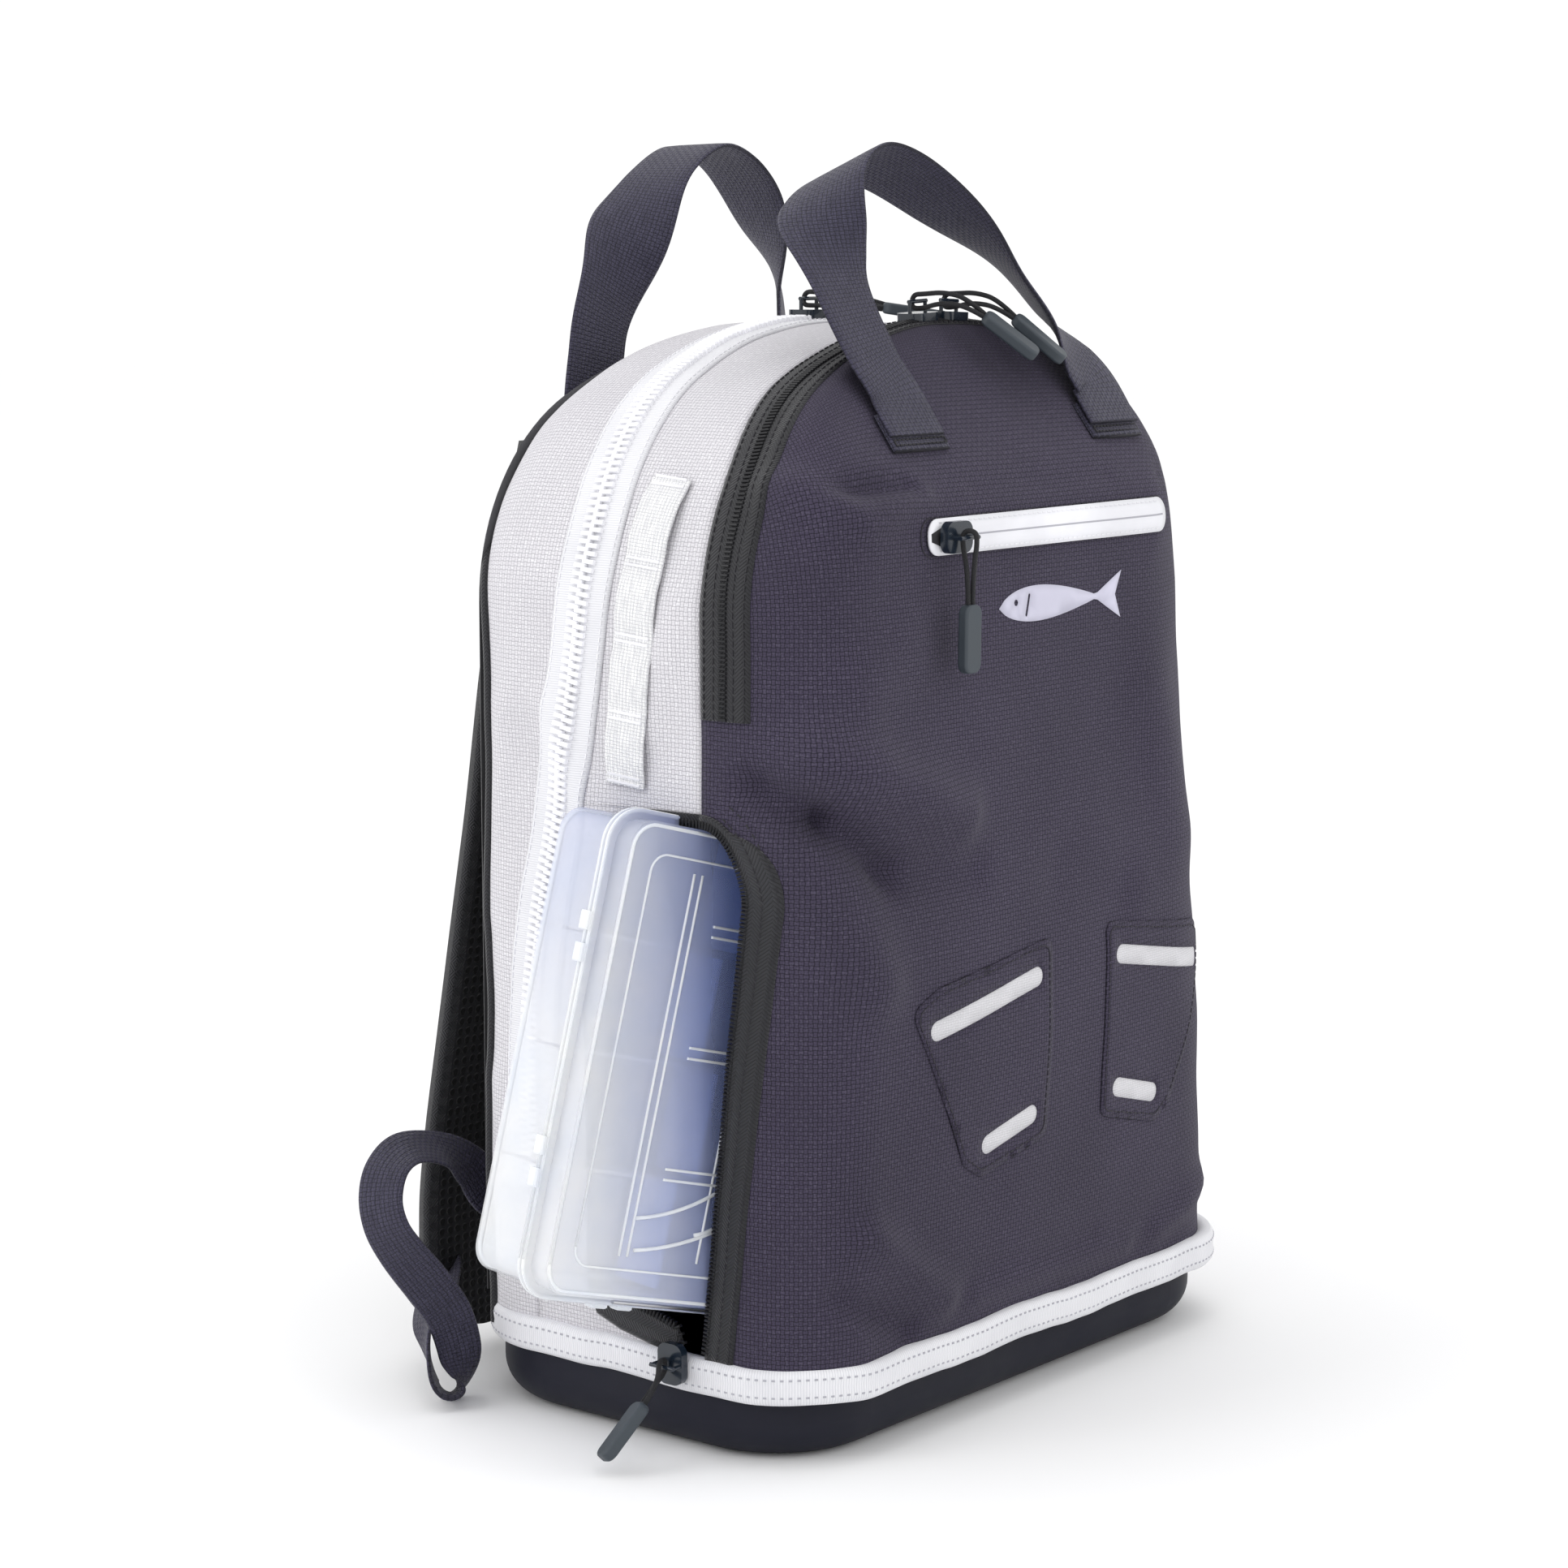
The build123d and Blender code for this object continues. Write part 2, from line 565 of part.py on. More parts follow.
def slider_solid(name):
    """Slider body with the bridge that the cord goes round."""
    body = Pos(0, 0, SLIDER_LIFT + SLIDER_HEIGHT / 2) * Box(SLIDER_LENGTH, SLIDER_WIDTH, SLIDER_HEIGHT)
    body = fillet(body.edges().filter_by(Axis.Z), 4.0)
    top = SLIDER_LIFT + SLIDER_HEIGHT
    turn = 90 if name == "side" else 0
    half = BRIDGE_HALF
    bar = Pos(0, 0, top + BAR_RISE) * Rot(0, 90, 0) * Cylinder(BAR_R, 2 * half + 2 * BAR_R)
    posts = None
    for side in (-1, 1):
        post = Pos(side * half, 0, top + BAR_RISE / 2 - 0.2) * Cylinder(BAR_R, BAR_RISE + 0.4)
        posts = post if posts is None else posts + post
    bridge = Rot(0, 0, turn) * (bar + posts)
    return slider_frame(name).location * (body + bridge)


def cord_radii(points):
    """Radius of the arc at each inner point of a route: as large as its two runs allow."""
    radii = []
    for before, here, after in zip(points, points[1:], points[2:]):
        arrive = here - before
        leave = after - here
        half_turn = math.radians(arrive.get_angle(leave)) / 2
        radii.append(0.45 * min(arrive.length, leave.length) / math.tan(half_turn))
    return radii


def cord_solid(name):
    """Round cord along its route."""
    frame = pull_frame(name)
    points = [frame.from_local_coords(Vector(*p)) for p in cord_routes()[name]]
    radii = cord_radii(points)
    path = FilletPolyline(*points, radius=radii)
    section = Plane(origin=path @ 0, z_dir=path % 0) * Circle(CORD_D / 2)
    return sweep(section, path=path)


def grip_solid(name):
    """Flat rubber grip on the end of the cord, in line with the cord's last run."""
    frame = pull_frame(name)
    route = cord_routes()[name]
    first = Vector(*route[0])
    last = Vector(*route[-1])
    second = Vector(*route[1])
    before_last = Vector(*route[-2])
    heading = ((first - second).normalized() + (last - before_last).normalized()).normalized()
    across = (last - first).normalized()
    middle = (first + last) * 0.5
    local = Plane(origin=middle - heading * 2.0, x_dir=heading, z_dir=heading.cross(across))
    body = Pos(GRIP_LENGTH / 2, 0, 0) * Box(GRIP_LENGTH, GRIP_WIDTH, GRIP_THICK)
    body = fillet(body.edges().filter_by(Axis.Z), 3.6)
    body = fillet(body.edges().group_by(Axis.Z)[0] + body.edges().group_by(Axis.Z)[-1], 1.2)
    return frame.location * local.location * body


def make_sliders():
    """Six sliders, each with its pull cord and grip."""
    nodes = {}
    for name in SLIDER_NAMES:
        nodes[name + "_slider"] = slider_solid(name)
        nodes[name + "_pull_cord"] = cord_solid(name)
        nodes[name + "_pull_grip"] = grip_solid(name)
    return nodes


def box_block(inset, y_from, y_to, radius):
    """Rounded slab in the box's own frame: x from its outer end, z up, y from the lid's face."""
    face = RectangleRounded(BOX_LENGTH - 2 * inset, BOX_HEIGHT - 2 * inset, radius)
    slab = extrude(Plane.XZ * face, amount=-(y_to - y_from))
    return Pos(BOX_LENGTH / 2, y_from, BOX_HEIGHT / 2) * slab


def place_box(solid):
    """Put a solid from the box's own frame where the box stands in the bag."""
    turned = solid.rotate(Axis.Y, BOX_PITCH).rotate(Axis.Z, BOX_YAW)
    return Pos(*BOX_PLACE) * turned


def make_box():
    """Clear utility box: tray, lid, latches, hinge pin and loose dividers."""
    rim_thick = 2.0
    joint = BOX_LID + 0.2
    radius = BOX_CORNER_R
    inner_r = radius - BOX_RIM - BOX_WALL
    lid = box_block(BOX_RIM, 0, BOX_LID, radius - BOX_RIM)
    lid = lid - box_block(BOX_RIM + BOX_WALL, BOX_WALL, BOX_LID + 1, inner_r)
    lid = lid + (box_block(0, BOX_LID - rim_thick, BOX_LID, radius)
                 - box_block(BOX_RIM + 0.5, 0, BOX_THICK, radius - BOX_RIM - 0.5))
    tray = box_block(BOX_RIM, joint, BOX_THICK, radius - BOX_RIM)
    tray = tray - box_block(BOX_RIM + BOX_WALL, BOX_LID, BOX_THICK - BOX_WALL, inner_r)
    tray = tray + (box_block(0, joint, joint + rim_thick, radius)
                   - box_block(BOX_RIM + 0.5, 0, BOX_THICK, radius - BOX_RIM - 0.5))
    inner = BOX_RIM + BOX_WALL
    row_step = (BOX_HEIGHT - 2 * inner) / BOX_ROWS
    for row in range(1, BOX_ROWS):
        wall = Pos(BOX_LENGTH / 2, (BOX_LID + BOX_THICK) / 2 + 1, inner + row * row_step)
        tray = tray + wall * Box(BOX_LENGTH - 2 * inner, BOX_THICK - BOX_LID - 4, 1.4)
    dividers = None
    for row in range(BOX_ROWS):
        for x in DIVIDER_PLACES:
            middle = Pos(x + 9 * (row % 2), (BOX_LID + BOX_THICK) / 2, inner + (row + 0.5) * row_step)
            plate_solid = middle * Box(1.2, BOX_THICK - BOX_LID - 8, row_step - 3)
            dividers = plate_solid if dividers is None else dividers + plate_solid
    latches = None
    for x in LATCH_PLACES:
        clip = Box(38, 9, 4.0) - Pos(0, 0, -1.2) * Box(40, 4.6, 3.0)
        latch = Pos(x, BOX_LID + 0.1, BOX_HEIGHT - 1.0) * clip
        latches = latch if latches is None else latches + latch
    pin = Pos(BOX_LENGTH / 2, BOX_LID - 2.6, 1.6) * Rot(0, 90, 0) * Cylinder(0.9, 190)
    nodes = {"box_lid": lid, "box_tray": tray, "box_dividers": dividers, "box_latches": latches,
             "box_hinge_pin": pin}
    return {name: place_box(solid) for name, solid in nodes.items()}


def main():
    os.makedirs("parts", exist_ok=True)
    nodes = {}
    for group in (make_base, make_panels, make_coils, make_trim, make_front_plates, make_inside,
                  make_handles, make_straps, make_sliders, make_box):
        nodes.update(group())
    for name, solid in nodes.items():
        export_step(Pos(0, 0, -SOLE_Z) * solid, f"parts/{name}.step")
    print(len(nodes), "nodes")


main()
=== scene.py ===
import math

import bmesh
import bpy
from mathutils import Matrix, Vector, geometry, noise


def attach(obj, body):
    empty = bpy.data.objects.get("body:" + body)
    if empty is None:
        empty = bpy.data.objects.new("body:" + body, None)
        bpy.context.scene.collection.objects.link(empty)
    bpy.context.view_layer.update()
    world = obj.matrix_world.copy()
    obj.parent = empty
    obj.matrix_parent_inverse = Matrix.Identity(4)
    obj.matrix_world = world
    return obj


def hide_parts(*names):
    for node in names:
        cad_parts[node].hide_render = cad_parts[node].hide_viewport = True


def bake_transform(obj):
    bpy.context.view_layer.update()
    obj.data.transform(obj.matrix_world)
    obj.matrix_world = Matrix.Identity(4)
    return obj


# Tackle backpack: the looks. Lengths are in millimetres up to the moment a mesh is made, and MM turns them
# into metres. The body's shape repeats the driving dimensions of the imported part. Heights start from a level
# 22 mm below the base's underside, as in the part; SOLE takes that off when a point goes into the scene.

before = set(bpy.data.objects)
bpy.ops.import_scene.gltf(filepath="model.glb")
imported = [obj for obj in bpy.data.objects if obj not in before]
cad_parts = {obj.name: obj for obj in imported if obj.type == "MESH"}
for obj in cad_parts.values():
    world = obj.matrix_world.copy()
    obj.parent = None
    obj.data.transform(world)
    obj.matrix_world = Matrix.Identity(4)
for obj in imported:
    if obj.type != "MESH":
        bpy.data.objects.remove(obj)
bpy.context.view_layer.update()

MM = 0.001
SOLE = Vector((0, 0, 22.0))
X_AXIS = Vector((1, 0, 0))
Y_AXIS = Vector((0, 1, 0))

# ---- The sewn body ----
HALF_WIDTH = 150.0
FRONT_Y = -94.0
BACK_Y = 88.0
CROWN_Z = 447.0
CROWN_R = 225.0
CROWN_HALF = 95.0
CORNER_R = 38.0
REAR_R = 38.0
# Radius of the front right corner at each height: the cloth slumps inward there.
SLUMP = [(52, 50), (130, 60), (206, 72), (274, 82), (357, 88), (400, 78), (435, 50), (447, 42)]
FOOT_Z = 52.0
SLOPE_FOOT = (-94.0, 382.0)
SLOPE_TOP = (-44.3, 447.0)
SLOPE_SOFT = 12.0
CLOTH_THICK = 1.4
CROWN_CENTRE = CROWN_Z - CROWN_R
JOIN = math.asin(CROWN_HALF / CROWN_R)
SHOULDER_R = (HALF_WIDTH - CROWN_HALF) / (1 - math.sin(JOIN))
SHOULDER_X = HALF_WIDTH - SHOULDER_R
SHOULDER_Z = CROWN_CENTRE + (CROWN_R - SHOULDER_R) * math.cos(JOIN)
WALL = SHOULDER_Z - FOOT_Z
TURN = SHOULDER_R * (math.pi / 2 - JOIN)
ARCH = 2 * (WALL + TURN + JOIN * CROWN_R)

# ---- Seams and zippers ----
SEAM_LINE = [(52, -42), (385, -42), (430, -32), (447, -30)]
UPPER_TAPE_FOOT = 305.0
UPPER_TAPE = 22.0
REAR_SEAM_Y = 72.0
REAR_SEAM_TOP_Y = 86.0
MAIN_ZIP_LINE = [(52, 43), (166, 43), (215, 38), (264, 28), (335, 17), (375, 14), (420, 19), (447, 26)]
MAIN_ZIP_FOOT = 112.0
TAPE_HALF = 14.0
MOUTH_TOP = 269.0
MOUTH_CAP = 31.0
MOUTH_ROUND = 5.0
MOUTH_FRONT = [(62, 5), (238, 24)]
MOUTH_REAR = 48.0
POCKET_ZIP = (-81.0, 79.0, 370.0, 13.6)


# ------------------------------------------------------------------ shape of the body

def smooth(low, high, value):
    """0 below low, 1 above high, and a smooth rise between."""
    t = min(1.0, max(0.0, (value - low) / (high - low)))
    return t * t * (3 - 2 * t)


def lerp(a, b, t):
    return a + (b - a) * t


def along(points, value):
    """Second number of a table of pairs at value, by a smooth curve through the pairs."""
    if value <= points[0][0]:
        return points[0][1]
    if value >= points[-1][0]:
        return points[-1][1]
    for i, (left, right) in enumerate(zip(points, points[1:])):
        if value <= right[0]:
            break
    span = right[0] - left[0]
    t = (value - left[0]) / span
    before = points[max(i - 1, 0)]
    after = points[min(i + 2, len(points) - 1)]
    slope_a = (right[1] - before[1]) / (right[0] - before[0]) * span
    slope_b = (after[1] - left[1]) / (after[0] - left[0]) * span
    t2 = t * t
    t3 = t2 * t
    return ((2 * t3 - 3 * t2 + 1) * left[1] + (t3 - 2 * t2 + t) * slope_a
            + (3 * t2 - 2 * t3) * right[1] + (t3 - t2) * slope_b)


def arch(d):
    """Point (x, z) of the body's outline at d along it from its left foot, and its outward normal."""
    mirrored = d > ARCH / 2
    e = ARCH - d if mirrored else d
    if e < WALL:
        x, z, out_x, out_z = -HALF_WIDTH, FOOT_Z + e, -1.0, 0.0
    elif e < WALL + TURN:
        a = (e - WALL) / SHOULDER_R
        out_x, out_z = -math.cos(a), math.sin(a)
        x, z = -SHOULDER_X + SHOULDER_R * out_x, SHOULDER_Z + SHOULDER_R * out_z
    else:
        a = JOIN - (e - WALL - TURN) / CROWN_R
        out_x, out_z = -math.sin(a), math.cos(a)
        x, z = CROWN_R * out_x, CROWN_CENTRE + CROWN_R * out_z
    return (-x, z, -out_x, out_z) if mirrored else (x, z, out_x, out_z)


def arch_at(z, right=False):
    """Distance along the outline at height z on one side."""
    if z <= SHOULDER_Z:
        d = z - FOOT_Z
    else:
        d = WALL + SHOULDER_R * math.asin(min(1.0, (z - SHOULDER_Z) / SHOULDER_R))
    return ARCH - d if right else d


def front_radius(x, z):
    """Radius of the front corner beside the outline's point (x, z)."""
    return lerp(CORNER_R, along(SLUMP, z), smooth(0, 70, x))


def front_arc(t, radius):
    """Y at t along the section, measured back from the flat of the front."""
    turn = radius * math.pi / 2
    if t < turn:
        return FRONT_Y + radius * (1 - math.cos(t / radius))
    return FRONT_Y + radius + t - turn


def front_arc_length(y, radius):
    """The other way round: length along the section from the flat of the front to y."""
    if y < FRONT_Y + radius:
        return radius * math.acos(1 - (y - FRONT_Y) / radius)
    return radius * math.pi / 2 + y - FRONT_Y - radius


def corner(y, radius):
    """How far the section lies inside the outline at y, and the lean of its normal toward +Y."""
    if y < FRONT_Y + radius:
        a = math.asin(min(1.0, (FRONT_Y + radius - y) / radius))
        return radius * (1 - math.cos(a)), -a
    if y > BACK_Y - REAR_R:
        a = math.asin(min(1.0, (y - BACK_Y + REAR_R) / REAR_R))
        return REAR_R * (1 - math.cos(a)), a
    return 0.0, 0.0


FRONT_BULGE = 9.0
SIDE_BULGE = 2.5
FOLD_GAIN = 1.3
# Folds and dents of the cloth: from, to, half width, height before the gain (negative is a valley).
FOLDS = [
    ((-149, -66, 281), (-136, -86, 270), 7.0, -7.0),
    ((-134, -90, 268), (-104, -99, 247), 7.5, -8.0),
    ((-138, -88, 294), (-66, -100, 266), 12.0, 8.0),
    ((-104, -98, 247), (-58, -101, 242), 9.0, -4.0),
    ((-146, -78, 256), (-116, -97, 206), 14.0, 5.0),
    ((-116, -92, 378), (-78, -94, 387), 6.0, 4.0),
    ((-130, -84, 391), (-84, -90, 391), 4.5, -4.5),
    ((-139, -66, 394), (-124, -84, 384), 9.0, 4.5),
    ((90, -90, 388), (124, -84, 393), 5.0, -3.0),
    ((120, -80, 398), (132, -74, 380), 9.0, 3.0),
    ((-44, -92, 389), (44, -92, 389), 5.0, -1.2),
    ((-118, -95, 110), (-70, -99, 76), 8.0, 5.0),
    ((-130, -92, 88), (-90, -97, 68), 5.5, -4.5),
    ((-96, -98, 330), (-120, -94, 316), 16.0, 2.5),
    ((70, -98, 300), (96, -98, 240), 18.0, 2.5),
    ((0, -100, 232), (40, -100, 222), 14.0, -2.5),
    ((-48, -98, 72), (56, -97, 70), 5.0, 2.6),
    ((-52, -98, 81), (30, -98, 80), 4.0, -1.6),
    ((80, -97, 72), (120, -90, 84), 7.0, 2.5),
    ((-152, 12, 268), (-152, 34, 304), 8.0, 2.0),
    ((-152, -16, 300), (-152, -30, 346), 9.0, 1.8),
    ((-152, 52, 90), (-152, 70, 150), 9.0, 2.0),
    ((-151, 60, 300), (-151, 74, 220), 8.0, 1.6),
]


def fold(p):
    """Height of the cloth's folds, swelling and small unevenness over the sewn shape."""
    held = smooth(60, 76, p.z)
    facing = smooth(-60, -92, p.y)
    bulge = FRONT_BULGE * facing * max(0.0, 1 - (p.x / HALF_WIDTH) ** 2) * math.exp(-((p.z - 185) / 100) ** 2)
    side = SIDE_BULGE * (1 - facing) * math.exp(-((p.z - 240) / 130) ** 2) * smooth(80, 20, abs(p.y + 5))
    uneven = 1.3 * noise.noise(p * 0.013) + 0.6 * noise.noise(p * 0.035 + Vector((7, 3, 1)))
    height = held * (bulge + side + uneven)
    for start, end, width, rise in FOLDS:
        a = Vector(start)
        b = Vector(end)
        line = b - a
        t = min(1.0, max(0.0, (p - a).dot(line) / line.length_squared))
        away = (p - a - line * t).length / width
        if away < 3:
            height += FOLD_GAIN * rise * math.exp(-away * away)
    return height


def settle(point, normal, lift):
    """Push a point of the square-edged shape back to the sloping top of the front, then add the folds."""
    run = SLOPE_TOP[0] - SLOPE_FOOT[0]
    rise = SLOPE_TOP[1] - SLOPE_FOOT[1]
    slope_y = SLOPE_FOOT[0] + (point.z - SLOPE_FOOT[1]) * run / rise
    gap = slope_y - point.y
    rounding = max(0.0, 1 - abs(gap) / SLOPE_SOFT) ** 2 * SLOPE_SOFT / 4
    slope_normal = Vector((0, -rise, run)).normalized()
    share = smooth(-SLOPE_SOFT, SLOPE_SOFT, gap)
    normal = normal.lerp(slope_normal, share).normalized()
    base = Vector((point.x, max(slope_y, point.y) + rounding, point.z))
    return base + normal * (lift + fold(base)), normal


def skin(d, y, lift=0.0):
    """Point and normal on the side or top: d along the outline, y across, lift outward."""
    x, z, out_x, out_z = arch(d)
    inset, lean = corner(y, front_radius(x, z))
    point = Vector((x - out_x * inset, y, z - out_z * inset))
    normal = Vector((out_x * math.cos(lean), math.sin(lean), out_z * math.cos(lean)))
    return settle(point, normal, lift)


def inside_outline(x, z):
    """Distance from (x, z) to the outline, and the outward direction there."""
    if abs(x) < (z - CROWN_CENTRE) * math.tan(JOIN) and z > CROWN_CENTRE:
        away = Vector((x, z - CROWN_CENTRE))
        return CROWN_R - away.length, away.normalized()
    if z > SHOULDER_Z and abs(x) > SHOULDER_X:
        away = Vector((abs(x) - SHOULDER_X, z - SHOULDER_Z))
        out = away.normalized()
        return SHOULDER_R - away.length, Vector((math.copysign(out.x, x), out.y))
    return HALF_WIDTH - abs(x), Vector((math.copysign(1.0, x), 0.0))


def front(x, z, lift=0.0):
    """Point and normal on the front panel."""
    inset, out = inside_outline(x, z)
    radius = front_radius(x + out.x * inset, z + out.y * inset)
    if inset >= radius:
        return settle(Vector((x, FRONT_Y, z)), -Y_AXIS, lift)
    a = math.acos(1 - max(0.0, inset) / radius)
    point = Vector((x, FRONT_Y + radius * (1 - math.sin(a)), z))
    normal = Vector((out.x * math.cos(a), -math.sin(a), out.y * math.cos(a)))
    return settle(point, normal, lift)


# ------------------------------------------------------------------ meshes

def scene_point(p):
    """A point of the drawing in the scene: metres above the floor."""
    return (Vector(p) - SOLE) * MM


def make_mesh(name, points, faces, uvs=None, materials=()):
    """Object from points in millimetres; uvs are in millimetres too."""
    mesh = bpy.data.meshes.new(name)
    mesh.from_pydata([scene_point(p) for p in points], [], faces)
    if uvs:
        layer = mesh.uv_layers.new(name="UVMap")
        for loop in mesh.loops:
            u, v = uvs[loop.vertex_index]
            layer.data[loop.index].uv = (u * MM, v * MM)
    for m in materials:
        mesh.materials.append(m)
    mesh.polygons.foreach_set("use_smooth", [True] * len(mesh.polygons))
    obj = bpy.data.objects.new(name, mesh)
    bpy.context.scene.collection.objects.link(obj)
    return obj


def grid(name, rows, uvs, materials, flip=False):
    """Mesh from rows of points, all of one length."""
    width = len(rows[0])
    points = [p for row in rows for p in row]
    faces = []
    for r in range(len(rows) - 1):
        for c in range(width - 1):
            a = r * width + c
            quad = (a, a + 1, a + width + 1, a + width)
            faces.append(quad[::-1] if flip else quad)
    return make_mesh(name, points, faces, [uv for row in uvs for uv in row], materials)


def fused(obj, distance=0.05):
    """Join points that coincide."""
    work = bmesh.new()
    work.from_mesh(obj.data)
    bmesh.ops.remove_doubles(work, verts=work.verts, dist=distance * MM)
    work.to_mesh(obj.data)
    work.free()
    return obj


def thicken(obj, thick, offset=-1.0, lining=0):
    """Give a sheet its thickness, inward from its face, with another material inside if lining is 1."""
    solid = obj.modifiers.new("thickness", "SOLIDIFY")
    solid.thickness = thick * MM
    solid.offset = offset
    solid.material_offset = lining
    return obj


def finish_piece(obj, body, slot, *nodes):
    """Ride on a body and stand for CAD nodes; slot is not used."""
    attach(obj, body)
    if nodes:
        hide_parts(*nodes)
    return obj


def steps(low, high, count):
    return [low + (high - low) * i / count for i in range(count + 1)]


def blocks(name, frames, size, materials, chamfer=0.25):
    """Many small chamfered blocks in one mesh. A frame is (foot, along, across, up)."""
    points = []
    faces = []
    length, width, height = size
    for foot, x_dir, y_dir, z_dir in frames:
        first = len(points)
        for z, grow in ((-0.3 * height, 0.0), (height * (1 - chamfer), 0.0), (height, -chamfer * height)):
            for sx, sy in ((-1, -1), (1, -1), (1, 1), (-1, 1)):
                ahead = x_dir * sx * (length / 2 + grow)
                aside = y_dir * sy * (width / 2 + grow)
                points.append(foot + ahead + aside + z_dir * z)
        for level in (0, 4):
            for i in range(4):
                a = first + level + i
                b = first + level + (i + 1) % 4
                faces.append((a, b, b + 4, a + 4))
        faces.append((first + 8, first + 9, first + 10, first + 11))
        faces.append((first + 3, first + 2, first + 1, first))
    obj = make_mesh(name, points, faces, None, materials)
    obj.data.polygons.foreach_set("use_smooth", [False] * len(obj.data.polygons))
    return obj


def sewn(name, frames, size, material, slot, body="bag"):
    """A row of stitches or other small blocks on a body."""
    finish_piece(blocks(name, frames, size, [material]), body, slot)


def laid_ribbon(name, places, width, thick, material):
    """Ribbon through (point, normal) pairs."""
    return ribbon(name, [p for p, _ in places], [n for _, n in places], width, thick, [material])


def run_frames(place, length, pitch, start=0.0):
    """Frames at even steps of a line; place(s) gives the point and normal at s."""
    found = []
    count = max(1, int(length / pitch))
    for i in range(count):
        s = start + (i + 0.5) * length / count
        here, up = place(s)
        ahead = place(s + 0.5)[0]
        x_dir = (ahead - here).normalized()
        y_dir = up.cross(x_dir).normalized()
        found.append((here, x_dir, y_dir, x_dir.cross(y_dir)))
    return found


def subdivided(ring, spacing):
    """A closed ring with points at most spacing apart."""
    points = []
    for a, b in zip(ring, ring[1:] + ring[:1]):
        count = max(1, math.ceil((Vector(b) - Vector(a)).length / spacing))
        points += [tuple(Vector(a).lerp(Vector(b), i / count)) for i in range(count)]
    return points


def patch(name, outline, holes, place, spacing, materials, thick):
    """Cut-out laid on the body: outline and holes are flat rings, and place puts their points on the body."""
    outline, *holes = [subdivided(ring, spacing) for ring in [outline] + holes]
    rings = [outline] + holes
    points = []
    edges = []
    for ring in rings:
        first = len(points)
        points += [Vector(p) for p in ring]
        edges += [(first + i, first + (i + 1) % len(ring)) for i in range(len(ring))]
    low = Vector((min(p[0] for p in outline), min(p[1] for p in outline)))
    high = Vector((max(p[0] for p in outline), max(p[1] for p in outline)))
    ring_points = list(points)
    for x in steps(low.x, high.x, max(1, int((high.x - low.x) / spacing))):
        for z in steps(low.y, high.y, max(1, int((high.y - low.y) / spacing))):
            p = Vector((x, z))
            if min((p - q).length for q in ring_points) > spacing * 0.4 and covered(p, rings):
                points.append(p)
    flat, _, triangles, _, _, _ = geometry.delaunay_2d_cdt(points, edges, [], 0, 1e-4)
    faces = []
    for tri in triangles:
        middle = sum((flat[i] for i in tri), Vector((0, 0))) / 3
        if covered(middle, rings):
            faces.append(tuple(tri))
    solid = make_mesh(name, [place(p.x, p.y)[0] for p in flat], faces, [(p.x, p.y) for p in flat], materials)
    return thicken(solid, thick, 1.0)


def covered(p, rings):
    """Whether a flat point is inside the first ring and outside the others."""
    inside = [in_ring(p, ring) for ring in rings]
    return inside[0] and not any(inside[1:])


def in_ring(p, ring):
    """Even-odd test of a flat point against a closed ring."""
    odd = False
    for i, a in enumerate(ring):
        b = ring[i - 1]
        if (a[1] > p.y) != (b[1] > p.y):
            if p.x < (b[0] - a[0]) * (p.y - a[1]) / (b[1] - a[1]) + a[0]:
                odd = not odd
    return odd


def rounded_ring(corners, radius, count=6):
    """Closed ring of points round a convex polygon with rounded corners."""
    ring = []
    for i, here in enumerate(corners):
        here = Vector(here)
        before = (Vector(corners[i - 1]) - here).normalized()
        after = (Vector(corners[(i + 1) % len(corners)]) - here).normalized()
        half = before.angle(after) / 2
        reach = radius / math.tan(half)
        centre = here + (before + after).normalized() * radius / math.sin(half)
        start = (here + before * reach - centre).normalized()
        end = (here + after * reach - centre).normalized()
        for k in range(count + 1):
            ring.append(tuple(centre + start.slerp(end, k / count) * radius))
    return ring


def capsule(x_a, z_a, x_b, z_b, height, count=8):
    """Closed ring of a slot with round ends."""
    a = Vector((x_a, z_a))
    b = Vector((x_b, z_b))
    along_dir = (b - a).normalized()
    side = Vector((-along_dir.y, along_dir.x))
    r = height / 2
    a += along_dir * r
    b -= along_dir * r
    ring = []
    for centre, turn in ((b, -math.pi / 2), (a, math.pi / 2)):
        for k in range(count + 1):
            angle = turn + math.pi * k / count
            ring.append(tuple(centre + along_dir * r * math.cos(angle) + side * r * math.sin(angle)))
    ends = [(a - side * r).lerp(b - side * r, k / 6) for k in range(1, 6)]
    back = [(b + side * r).lerp(a + side * r, k / 6) for k in range(1, 6)]
    first = ring[:count + 1] + [tuple(p) for p in back]
    return first + ring[count + 1:] + [tuple(p) for p in ends]


def smooth_line(points, count):
    """Points along a smooth curve through the given ones."""
    points = [Vector(p) for p in points]
    found = []
    for i in range(len(points) - 1):
        p0 = points[max(i - 1, 0)]
        p1 = points[i]
        p2 = points[i + 1]
        p3 = points[min(i + 2, len(points) - 1)]
        for k in range(count):
            t = k / count
            found.append(0.5 * ((2 * p1) + (p2 - p0) * t + (2 * p0 - 5 * p1 + 4 * p2 - p3) * t * t
                                + (3 * p1 - p0 - 3 * p2 + p3) * t ** 3))
    found.append(points[-1])
    return found


